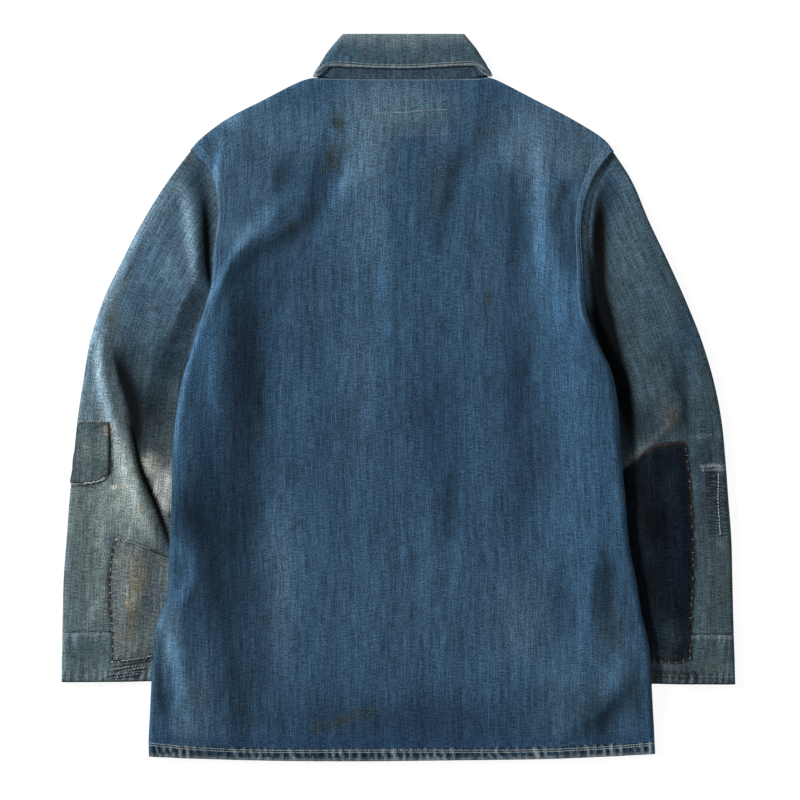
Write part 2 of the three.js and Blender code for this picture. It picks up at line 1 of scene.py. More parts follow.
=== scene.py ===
# Patched denim work jacket, laid face down with its back up.
# The pattern is in millimetres, in the CAD model's frame, and each mesh is made in metres.
import math
import bpy
import numpy as np
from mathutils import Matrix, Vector
from mathutils.bvhtree import BVHTree


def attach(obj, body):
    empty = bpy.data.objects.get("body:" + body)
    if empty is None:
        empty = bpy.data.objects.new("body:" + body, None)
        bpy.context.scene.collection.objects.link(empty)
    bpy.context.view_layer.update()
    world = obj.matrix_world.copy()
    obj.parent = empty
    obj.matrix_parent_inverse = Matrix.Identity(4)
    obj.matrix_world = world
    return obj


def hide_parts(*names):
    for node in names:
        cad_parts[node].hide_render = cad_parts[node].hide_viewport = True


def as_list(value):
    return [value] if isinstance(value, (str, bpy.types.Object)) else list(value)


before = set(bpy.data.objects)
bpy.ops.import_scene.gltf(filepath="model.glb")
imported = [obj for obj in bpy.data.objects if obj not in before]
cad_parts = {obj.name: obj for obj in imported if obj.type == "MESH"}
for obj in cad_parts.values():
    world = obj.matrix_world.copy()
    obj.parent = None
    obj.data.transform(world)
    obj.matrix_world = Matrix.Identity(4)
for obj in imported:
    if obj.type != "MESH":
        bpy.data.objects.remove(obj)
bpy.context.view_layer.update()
print("frame loaded")

# Cloth and layout, in millimetres
wall = 1.8
half = wall / 2
edgeGap = 0.5
layer = wall + 0.3
centreX = 3.5
backLevel = 8.2
sleeveLevel = 3.6
seamBand = {"width": 9.5, "rise": 0.7}
hemBand = {"width": 13.5, "rise": 0.8}
tuck = {"atShoulder": 8, "atArmpit": 22}
armpitY = 58
armpitShare = 0.68
shoulderShare = 26 / 80
rowSteps = 240
sleeveLength = 613
cuffHeight = 55
cuffRise = 0.3
puckerStart = {"left": 205, "right": 60}
placket = {"lap": 15, "ramp": 30, "left": 2.7, "right": 5.1}

# The outline as it lies: hem to shoulder tip for the body, shoulder to cuff for the sleeves
bodyEdge = {
    "left": [(-275.6, -396), (-276, -380), (-272.8, -322), (-270.6, -284), (-268.4, -257), (-262.9, -241),
             (-254.1, -212), (-253, -174), (-250.8, -130), (-249.7, -91), (-247.5, -42), (-243.1, -7),
             (-237.6, 21), (-229.9, 45), (-222.2, 71), (-212.3, 102), (-206.8, 120), (-203.5, 161),
             (-199.1, 196), (-199.7, 217), (-204.6, 241), (-215.6, 257), (-229.9, 271.7)],
    "right": [(282.4, -393), (280.5, -355), (278.3, -322), (277.2, -294), (273.9, -267), (267.3, -240),
              (260.7, -199), (254.1, -168), (248.6, -109), (244.2, -58), (239.8, 0), (233.2, 29),
              (223.3, 50), (213.4, 71), (205.7, 96), (203, 143), (201.3, 187), (206.8, 219),
              (218.9, 247.5), (236.5, 270.6)],
}
hemPoints = [(-275.6, -396), (-180, -399.5), (-80, -401), (60, -400), (180, -398), (282.4, -393)]
shoulderPoints = {
    "left": [(-229.9, 271.7), (-220, 282.7), (-191.4, 304.7), (-149.6, 326.7), (-105.6, 348.5),
             (-90.5, 352)],
    "right": [(98, 352.2), (107.8, 348.7), (150.7, 326.7), (192.5, 304.7), (226.6, 282.7), (236.5, 270.6)],
}
neckPoints = [(-90.5, 352), (-75, 350.9), (11, 350.2), (84, 351), (98, 352.2)]
sleeveOutside = {
    "left": [(-254.1, 238.7), (-281.6, 194.7), (-304.7, 150.7), (-325.6, 106.7), (-339.9, 62.7),
             (-347.6, 18.7), (-354.2, -25.3), (-358.6, -69.3), (-363, -113.3), (-366.3, -157.3),
             (-369.6, -201.3), (-370.7, -245.3), (-371.8, -314)],
    "right": [(256.3, 238.7), (275, 194.7), (295.9, 150.7), (315.7, 106.7), (333.3, 62.7), (346.5, 18.7),
              (355.3, -25.3), (359.7, -69.3), (363, -113.3), (366.3, -157.3), (367.4, -201.3),
              (368.5, -245.3), (370.7, -316.5)],
}
cuffInside = {"left": (-234, -313), "right": (233.7, -316)}
sideRoll = {
    "left": [(-400, 3.5), (-330, 5), (-250, 6), (40, 6.5), (100, 5), (200, 3), (272, 1.2)],
    "right": [(-400, 3.5), (-330, 5), (-120, 6.5), (-40, 9), (40, 9), (110, 8), (190, 4), (271, 1.2)],
}
underEdge = [(-400, half), (-350, half), (-322, 7.6), (-65, 7.6), (-30, 6), (280, 6)]

# Folds as line, width and height: the large ones are in the CAD model too
# Two widths are those to the left and right hand of someone who walks the line
backFolds = [
    ([(150, 299), (168, 190), (172, 74)], 14, 2.5),
    ([(181, 272), (194, 184)], 9, -2),
    ([(-81, 239), (-120, 188), (-168, 156)], 22, -2),
    ([(-168, 170), (-198, 125), (-211, 100)], (12, 8), 4.2),
    ([(-186, 117), (-188, 74)], 7, 1.5),
    ([(-236, -270), (-236, -385)], 12, 3),
    ([(-191, -285), (-196, -380)], 14, -1),
    ([(272, -300), (229, -360), (190, -380)], 12, -2),
]
backCreases = [
    ([(-166, 172), (-184, 152), (-198, 125), (-211, 103)], (3.5, 5), 1.3),
    ([(-118, 225), (-150, 190), (-176, 168)], 10, 1.2),
    ([(-89, 250), (-93, 215), (-108, 188), (-130, 172), (-160, 150)], (14, 7), -1.8),
    ([(-36, 300), (-46, 256), (-66, 222), (-84, 180)], 10, 1.0),
    ([(148, 300), (155, 258), (153, 215)], 8, 0.7),
    ([(-240, -160), (-227, -178), (-226, -200), (-240, -225)], (6, 9), 1.8),
    ([(226, -160), (218, -210), (216, -250)], (14, 5), -1.6),
    ([(-264, -262), (-263, -310), (-257, -360)], 4.5, -1.2),
    ([(-172, 60), (-178, -60), (-176, -180)], 18, -1.2),
    ([(-43, 260), (-46, 120), (-40, -40)], 20, 0.7),
    ([(96, 300), (78, 272), (62, 244), (54, 206), (46, 165)], 10, -1.3),
    ([(46, 120), (46, 0), (40, -80)], 16, -0.6),
    ([(-100, 290), (-128, 250), (-150, 205)], 10, 0.7),
    ([(-60, 300), (-72, 240), (-96, 200)], 12, 0.8),
    ([(133, 120), (136, 0), (134, -110)], 16, -0.9),
    ([(-215, -150), (-222, -230), (-226, -300)], 9, -1.0),
    ([(-245, -300), (-252, -350), (-254, -392)], 5, -0.8),
    ([(226, 10), (234, -60), (236, -130)], 8, -0.7),
    ([(118, -230), (150, -290), (180, -330)], 14, 0.8),
    ([(250, -250), (240, -310), (222, -350)], 8, 1.1),
    ([(262, -330), (252, -365), (240, -390)], 6, 0.9),
    ([(-30, -240), (-20, -310), (-26, -380)], 20, 0.6),
    ([(70, -260), (64, -330), (74, -385)], 16, -0.6),
    ([(190, 300), (200, 250), (192, 205)], 5, 0.6),
    ([(-176, 296), (-186, 250), (-184, 205)], 5, 0.7),
]
sleeveFolds = {
    "left": [
        ([(-317, 125), (-329, 75), (-329, 38), (-323, 0), (-317, -21), (-309, -58)], 10, 4),
        ([(-318, 60), (-308, 21), (-300, -21), (-293, -48)], 9, -3),
        ([(-306, 0), (-298, -45), (-291, -78), (-277, -113), (-265, -143)], (3.4, 12), 4.6),
        ([(-312, -50), (-307, -85), (-296, -118), (-282, -144)], 8, -1.2),
    ],
    "right": [
        ([(306, 50), (314, 0), (321, -41)], 9, -4),
        ([(312, -12), (290, -36), (262, -55)], 10, 4),
        ([(338, -20), (333, -60), (335, -110)], 9, 2),
    ],
}
sleeveCreases = {
    "left": [
        ([(-240, 228), (-256, 190), (-268, 150)], 7, 1.2),
        ([(-228, 150), (-236, 110), (-250, 70)], 6, 1.4),
        ([(-296, -20), (-290, -50), (-284.5, -78), (-270.5, -113), (-258, -144)], 3.0, -1.8),
        ([(-274, -58), (-264, -92), (-254, -122)], 9, 2.0),
        ([(-340, 30), (-338, -20), (-342, -70)], 7, 0.9),
        ([(-336, -120), (-340, -180), (-336, -240)], 8, 0.9),
        ([(-300, -170), (-296, -220), (-300, -270)], 7, 0.8),
        ([(-352, -190), (-344, -230), (-352, -262)], 5, -0.9),
    ],
    "right": [
        ([(217, 225), (214, 185), (208, 135)], 4, 1.8),
        ([(226, 190), (222, 130), (232, 70), (250, 10), (256, -40)], 11, -2.2),
        ([(262, 190), (278, 120), (286, 60)], 12, 1.0),
        ([(322, -44), (338, -42), (356, -41)], 2.5, -0.9),
        ([(326, -140), (340, -141), (352, -140)], 2.5, -0.9),
        ([(270, 60), (262, 10), (268, -30)], 9, 1.2),
        ([(340, -160), (343, -200), (338, -250)], 7, 0.9),
        ([(342, -246), (350, -256), (358, -262)], 3, -1.0),
        ([(298, 110), (306, 60), (300, 20)], 7, 0.8),
    ],
}


def smooth(value, low, high):
    share = np.clip((np.asarray(value, float) - low) / (high - low), 0, 1)
    return share * share * (3 - 2 * share)


def mix(a, b, share):
    return a + (b - a) * share


def graph(stops, place):
    return np.interp(place, [stop[0] for stop in stops], [stop[1] for stop in stops])


# Points joined by short straight pieces, walked by distance
class Line:
    def __init__(self, points):
        self.points = np.asarray(points, float)
        steps = np.linalg.norm(np.diff(self.points, axis=0), axis=1)
        self.reach = np.concatenate([[0], np.cumsum(steps)])
        self.length = self.reach[-1]

    def at(self, distance):
        parts = [np.interp(distance, self.reach, self.points[:, k]) for k in range(self.points.shape[1])]
        return np.stack(parts, -1)

    def share(self, amount):
        return self.at(np.asarray(amount, float) * self.length)


# A smooth line through its points, drawn in the same way as the CAD model's
def smoothLine(points, perSpan=24):
    given = np.asarray(points, float)
    knots = np.vstack([2 * given[0] - given[1], given, 2 * given[-1] - given[-2]])
    drawn = []
    for i in range(1, len(knots) - 2):
        a, b, c, d = knots[i - 1:i + 3]
        first, middle, last = (math.sqrt(np.linalg.norm(q - p)) for p, q in ((a, b), (b, c), (c, d)))
        leaving = ((b - a) / first - (c - a) / (first + middle) + (c - b) / middle) * middle
        reaching = ((c - b) / middle - (d - b) / (middle + last) + (d - c) / last) * middle
        t = np.linspace(0, 1, perSpan, endpoint=False)[:, None]
        square = -3 * b + 3 * c - 2 * leaving - reaching
        cube = 2 * b - 2 * c + leaving + reaching
        drawn.append(b + leaving * t + square * t ** 2 + cube * t ** 3)
    drawn.append(knots[-2:-1])
    return Line(np.vstack(drawn))


# A surface in plan between four edge lines
def between(bottom, top, left, right):
    corners = [bottom(0.0), bottom(1.0), top(0.0), top(1.0)]

    def surface(u, v):
        u, v = np.broadcast_arrays(np.asarray(u, float), np.asarray(v, float))
        us = u[..., None]
        vs = v[..., None]
        sides = (1 - vs) * bottom(u) + vs * top(u) + (1 - us) * left(v) + us * right(v)
        low = (1 - vs) * ((1 - us) * corners[0] + us * corners[1])
        high = vs * ((1 - us) * corners[2] + us * corners[3])
        return sides - low - high
    return surface


# Distance to a line in plan, the share of the line passed there, and whether the point is on its left hand
def nearest(line, x, y):
    best = np.full(np.shape(x), 1e9)
    along = np.zeros(np.shape(x))
    onLeft = np.zeros(np.shape(x), bool)
    points = line.points
    for i in range(len(points) - 1):
        a = points[i]
        step = points[i + 1] - a
        share = np.clip(((x - a[0]) * step[0] + (y - a[1]) * step[1]) / (step @ step), 0, 1)
        distance = np.hypot(x - a[0] - share * step[0], y - a[1] - share * step[1])
        closer = distance < best
        best = np.where(closer, distance, best)
        place = (line.reach[i] + share * (line.reach[i + 1] - line.reach[i])) / line.length
        along = np.where(closer, place, along)
        onLeft = np.where(closer, step[0] * (y - a[1]) > step[1] * (x - a[0]), onLeft)
    return best, along, onLeft


# How strongly a drawn line is felt: full on it, less beside it and towards its own ends
def nearLine(points, width, x, y, start, power):
    distance, along, onLeft = nearest(smoothLine(points, 5), x, y)
    reach = np.where(onLeft, *width) if isinstance(width, tuple) else width
    fade = np.sin(np.pi * np.clip(start + (1 - 2 * start) * along, 0, 1)) ** power
    return fade * np.exp(-((distance / reach) ** 2))


def foldHeight(folds, x, y):
    return sum(rise * nearLine(points, width, x, y, 0.1, 0.5) for points, width, rise in folds)


# Smooth random values from -1 to 1, with a size across and a size along
def ripple(x, y, sizeX, sizeY, seed):
    table = np.random.default_rng(seed).uniform(-1, 1, (61, 61))
    px = np.asarray(x, float) / sizeX + 500
    py = np.asarray(y, float) / sizeY + 500
    i = np.floor(px).astype(int)
    j = np.floor(py).astype(int)
    fx = smooth(px - i, 0, 1)
    fy = smooth(py - j, 0, 1)
    low = mix(table[i % 61, j % 61], table[(i + 1) % 61, j % 61], fx)
    high = mix(table[i % 61, (j + 1) % 61], table[(i + 1) % 61, (j + 1) % 61], fx)
    return mix(low, high, fy)


# Body plan and its edges
hemLine = smoothLine(hemPoints)
edgeLine = {side: smoothLine(points) for side, points in bodyEdge.items()}
shoulderLine = {side: smoothLine(points) for side, points in shoulderPoints.items()}
neckLine = smoothLine(neckPoints)


def topLine(u):
    u = np.asarray(u, float)[..., None]
    left = shoulderLine["left"].share(u[..., 0] / shoulderShare)
    neck = neckLine.share((u[..., 0] - shoulderShare) / (1 - 2 * shoulderShare))
    right = shoulderLine["right"].share((u[..., 0] - 1 + shoulderShare) / shoulderShare)
    return np.where(u <= shoulderShare, left, np.where(u < 1 - shoulderShare, neck, right))


bodyPlan = between(hemLine.share, topLine, edgeLine["left"].share, edgeLine["right"].share)


def bodyRow(v):
    return Line(bodyPlan(np.linspace(0, 1, rowSteps + 1), v))


def fromSide(row, side, distance):
    return row.at(distance if side == "left" else row.length - distance)


def mirrorX(x):
    return 2 * centreX - x


def insideEdge(side, x, y):
    edge = np.interp(y, edgeLine[side].points[:, 1], edgeLine[side].points[:, 0])
    return x - edge if side == "left" else edge - x


def rollRadius(side, y):
    return graph(sideRoll[side], y)


def rollCentre(side, y):
    return rollRadius(side, y) + half


def underLevel(y):
    return graph(underEdge, y)


def edgeTop(side, y):
    return underLevel(y) + 2 * rollRadius(side, y)


def tuckWidth(side, y):
    width = mix(tuck["atArmpit"], tuck["atShoulder"], smooth(y, armpitY, 150))
    return np.maximum(width, rollCentre(side, y) + 4)


# Distance in from the body's side to the armhole or side seam, along a row
def seamDistance(row, side):
    return tuckWidth(side, fromSide(row, side, 0.0)[1])


def shoulderShape(x, y):
    left = nearest(Line(shoulderLine["left"].points[::6]), x, y)[0]
    right = nearest(Line(shoulderLine["right"].points[::6]), x, y)[0]
    onLeft = x < centreX
    near = (1 - np.minimum(1, np.where(onLeft, left, right) / 14)) ** 2.2
    tips = [shoulderPoints["left"][0], shoulderPoints["right"][-1]]
    necks = [shoulderPoints["left"][-1], shoulderPoints["right"][0]]
    toTip = np.where(onLeft, *[np.hypot(x - tip[0], y - tip[1]) for tip in tips])
    toNeck = np.where(onLeft, *[np.hypot(x - neck[0], y - neck[1]) for neck in necks])
    level = 5.5 + 2.9 * (1 - smooth(toTip, 12, 40)) + 2.1 * (1 - smooth(toNeck, 8, 30))
    return near, level


def frontBase(side, x, y):
    nearSleeve = 1 - smooth(insideEdge(side, x, y), 50, 95)
    overSleeve = (underLevel(y) - half) * (1 - smooth(y, 98, 150)) * nearSleeve
    overCollar = layer * smooth(y, 205, 232) * (1 - smooth(np.abs(x - centreX), 120, 148))
    outward = centreX - x if side == "left" else x - centreX
    start = placket["lap"] + 6
    closing = placket[side] * (1 - smooth(outward, start, start + placket["ramp"]))
    return half + np.maximum(np.maximum(overSleeve, overCollar), closing)


def frontHeight(side, x, y):
    near, level = shoulderShape(x, y)
    return mix(frontBase(side, x, y), level - layer - 0.3, near)


def backHeight(x, y, fromLeft, fromRight):
    inLeft = fromLeft - rollCentre("left", y)
    inRight = fromRight - rollCentre("right", y)
    z = backLevel + (edgeTop("left", y) - backLevel) * (1 - smooth(inLeft, 0, 110))
    z = z + (edgeTop("right", y) - backLevel) * (1 - smooth(inRight, 0, 110))
    free = smooth(inLeft, 0, 14) * smooth(inRight, 0, 14) * (1 - smooth(y, 300, 340))
    z = z + foldHeight(backFolds, x, y) * free
    fine = foldHeight(backCreases, x, y) + 0.45 * ripple(x, y, 34, 60, 11) + 0.2 * ripple(x, y, 9, 26, 12)
    z = z + fine * free
    reach = placket["lap"] + 4
    z = np.where(x < centreX + reach, np.maximum(z, frontBase("left", x, y) + layer), z)
    z = np.where(x > centreX - reach, np.maximum(z, frontBase("right", x, y) + layer), z)
    near, level = shoulderShape(x, y)
    return mix(z, level, near)


# Colours, given as they look in the photo's light
def linear(colour):
    value = np.asarray(colour, float) / 255
    return np.where(value <= 0.04045, value / 12.92, ((value + 0.055) / 1.055) ** 2.4)


def cover(tint, tone, share):
    return mix(tint, linear(tone), share[..., None])


# Soft spots of colour as x, y, reach across, reach along, colour and strength
def paint(x, y, base, spots, ragged=0.0, seed=70):
    colour = np.broadcast_to(linear(base), np.shape(x) + (3,)).copy()
    sx = x + ragged * ripple(x, y, 7, 7, seed)
    sy = y + ragged * ripple(x, y, 7, 7, seed + 1)
    for cx, cy, across, along, tone, strength in spots:
        reach = strength * np.exp(-(((sx - cx) / across) ** 2 + ((sy - cy) / along) ** 2) ** 1.3)
        colour = cover(colour, tone, reach)
    return colour


# The share covered by marks given as x, y, reach across, reach along and strength
def markShare(x, y, marks, ragged, seed):
    spots = [(*mark[:4], (255, 255, 255), mark[4]) for mark in marks]
    return paint(x, y, (0, 0, 0), spots, ragged, seed)[..., 0]


# Marks that each have a colour, given before the strength, and a ragged edge of their own: stains, and on
# the left sleeve one painted shadow
def paintMarks(tint, x, y, marks, ragged, seed):
    for k, (*place, tone, strength) in enumerate(marks):
        tint = cover(tint, tone, markShare(x, y, [(*place, strength)], ragged, seed + k))
    return tint


# Soft lines of painted shade and painted light as points, width and how much light they keep: below 1
# darkens, above 1 lightens
def shadeLines(tint, x, y, lines):
    for points, width, keeps in lines:
        tint = tint * (1 + (keeps - 1) * nearLine(points, width, x, y, 0.06, 0.6))[..., None]
    return tint


# Soft lines of colour as points, width, colour and strength; on the sleeves most are painted shadow in gaps
# and folds and painted highlight on ridges
def paintLines(tint, x, y, lines):
    for points, width, tone, strength in lines:
        share = np.clip(strength * nearLine(points, width, x, y, 0.06, 0.6), 0, 1)
        tint = cover(tint, tone, share)
    return tint


bodyColour = {
    "base": (47, 74, 97),
    # Spots of tone, partly the cloth's own fading and partly painted light and shade of the folds, such as
    # the dark band near x -170 that darkens a broad hollow
    "spots": [
        (234, -262, 20, 46, (48, 68, 80), 0.65), (214, -330, 22, 26, (50, 70, 82), 0.5),
        (-150, 290, 70, 34, (68, 95, 116), 0.8), (-35, 285, 28, 60, (82, 109, 129), 0.85),
        (0, 322, 60, 26, (80, 105, 120), 0.8), (45, 250, 18, 60, (50, 71, 87), 0.7),
        (95, 285, 20, 30, (50, 70, 86), 0.6), (150, 280, 40, 50, (76, 101, 120), 0.8),
        (200, 270, 30, 40, (69, 92, 108), 0.8), (-170, 230, 40, 40, (62, 88, 110), 0.7),
        (-110, 200, 30, 34, (46, 68, 87), 0.5), (-175, 178, 22, 20, (72, 100, 122), 0.7),
        (-40, 190, 26, 60, (66, 92, 113), 0.7), (170, 200, 22, 60, (62, 88, 110), 0.6),
        (-215, 80, 14, 60, (56, 88, 117), 0.8), (-170, 60, 24, 90, (27, 44, 60), 0.9),
        (-172, -110, 22, 130, (27, 43, 58), 0.85), (-152, -280, 16, 90, (30, 48, 62), 0.6),
        (-43, 30, 22, 70, (62, 89, 112), 0.7), (45, -40, 26, 80, (33, 56, 78), 0.8),
        (133, 10, 18, 110, (34, 55, 76), 0.75), (180, 60, 20, 110, (55, 88, 117), 0.85),
        (222, -80, 22, 110, (50, 81, 108), 0.7), (-214, -120, 22, 90, (26, 45, 62), 0.8),
        (-128, -200, 18, 90, (66, 91, 110), 0.8), (-43, -70, 26, 40, (56, 83, 106), 0.6),
        (0, -215, 120, 70, (52, 77, 99), 0.6), (133, -245, 34, 50, (60, 81, 99), 0.7),
        (-255, -265, 14, 40, (78, 106, 127), 0.8), (-219, -210, 16, 50, (36, 56, 74), 0.6),
        (-226, -340, 22, 60, (68, 93, 112), 0.85), (-176, -350, 14, 60, (28, 45, 60), 0.8),
        (0, -366, 150, 34, (33, 55, 78), 0.8), (177, -330, 30, 50, (58, 84, 103), 0.75),
        (222, -366, 18, 34, (26, 42, 54), 0.8), (258, -325, 12, 44, (36, 52, 62), 0.7),
        (1, -330, 160, 20, (42, 66, 88), 0.5), (-88, 120, 30, 60, (50, 74, 95), 0.5),
        (90, 140, 24, 80, (53, 77, 98), 0.5),
    ],
    "marks": [
        (-67, 302, 6, 9, 0.85), (-63, 292, 4, 5, 0.6), (-74, 264, 5, 14, 0.75), (-66, 256, 6, 9, 0.6),
        (-60, 274, 4, 6, 0.5), (-80, 249, 4, 5, 0.5), (-120, 188, 9, 5, 0.6), (99, 106, 3, 12, 0.7),
        (100, 90, 3, 6, 0.5), (-82, -362, 16, 4, 0.85), (-62, -358, 14, 5, 0.8), (-40, -348, 12, 5, 0.55),
        (-28, -343, 9, 4, 0.5), (20, 60, 3, 4, 0.4), (60, -120, 4, 3, 0.4), (-152, -34, 6, 8, 0.4),
    ],
    "stainTone": (48, 55, 48), "box": (94, 112, 122),
    "ropeTops": (158, 172, 178), "wornEdge": (132, 142, 145), "aboveHem": (26, 50, 78),
}
# Long soft bands of painted shade and painted highlight along the body's folds and edges, as points, width
# and how much light they keep
bodyShadeAndLight = [
    ([(-89, 272), (-91, 217), (-106, 190), (-128, 175), (-155, 158)], (16, 9), 0.38),
    ([(-160, 160), (-176, 120), (-166, 60), (-170, -10)], (20, 8), 0.75),
    ([(-118, 225), (-150, 190), (-176, 168)], (7, 11), 1.8),
    ([(-166, 172), (-184, 152), (-198, 125), (-211, 103)], (3.5, 5), 1.8),
    ([(-36, 300), (-46, 256), (-66, 222), (-84, 180)], 10, 1.7),
    ([(-128, 275), (-133, 240), (-140, 220)], 14, 0.5),
    ([(-194, 285), (-200, 262), (-204, 210), (-203, 185)], 4, 2.3),
    ([(-202, 225), (-204, 180), (-204, 150), (-205, 125), (-210, 108)], 4, 1.7),
    ([(-43, 302), (-43, 250)], 12, 0.66),
    ([(-165, 285), (-162, 255)], 13, 0.7),
    ([(-198, 310), (-178, 302)], 9, 1.5),
    ([(234, -185), (229, -225), (238, -272)], (8, 12), 0.5),
    ([(177, -195), (177, -265)], 14, 0.62),
    ([(56, -80), (56, -150)], 9, 0.5),
    ([(-155, 25), (-152, -45)], 9, 0.6),
    ([(191, 215), (194, 178), (196, 130)], 5, 0.62),
    ([(-131, 165), (-131, 100)], 10, 0.72),
    ([(168, 78), (166, 10)], 12, 0.78),
    ([(-203, 62), (-205, 10), (-203, -22)], 9, 1.5),
    ([(5, 285), (66, 284)], 16, 1.22),
    ([(176, 264), (178, 238)], 8, 1.4),
    ([(-153, -130), (-153, -190)], 12, 1.25),
    ([(252, -262), (248, -300)], 7, 1.4),
    ([(-175, 128), (-180, 100)], 7, 1.35),
    ([(-218, 82), (-232, 35), (-241, -10), (-247, -60)], 5, 2.1),
    ([(-176, 60), (-172, -10), (-176, -60)], 16, 0.65),
    ([(-200, -100), (-204, -150), (-202, -205), (-188, -270), (-176, -340)], (22, 16), 0.48),
    ([(-236, -100), (-230, -130), (-216, -150)], 14, 0.42),
    ([(-240, -160), (-227, -178), (-226, -200), (-240, -225)], (6, 9), 2.0),
    ([(-256, -245), (-246, -290), (-236, -334), (-231, -372)], 7.5, 1.6),
    ([(-264, -262), (-263, -310), (-257, -360)], 5, 0.4),
    ([(-124, -140), (-118, -190), (-116, -230)], 14, 1.25),
    ([(-21, 210), (-18, 150), (-20, 60)], 9, 1.5),
    ([(-54, 20), (-53, -60), (-54, -110)], 14, 0.7),
    ([(148, 300), (155, 258), (153, 215), (155, 160), (150, 110)], 8.5, 1.7),
    ([(205, 250), (184, 228), (173, 200), (178, 170), (190, 140)], 9, 0.52),
    ([(172, 140), (176, 106), (174, 62)], 7, 1.4),
    ([(168, 20), (166, -40), (172, -90)], 14, 0.68),
    ([(128, 250), (128, 180), (122, 130)], 9, 0.52),
    ([(118, 290), (110, 250)], 11, 1.4),
    ([(96, 300), (78, 272), (62, 244), (54, 206), (46, 165)], 10, 0.62),
    ([(148, 72), (134, 20), (130, -30)], (10, 14), 0.78),
    ([(150, -50), (142, -110), (130, -140)], 20, 0.66),
    ([(202, -190), (199, -278), (190, -330)], 9, 1.2),
    ([(226, -160), (218, -210), (216, -250)], (16, 5), 0.45),
    ([(236, -300), (226, -335)], 10, 1.5),
    ([(272, -300), (248, -328), (221, -353), (188, -373)], (12, 6), 0.62),
    ([(139, -240), (138, -300)], 12, 1.2),
    ([(-150, -352), (0, -352), (150, -350), (200, -345)], 26, 0.82),
    ([(215, 0), (222, -60), (226, -110)], 18, 0.85),
]
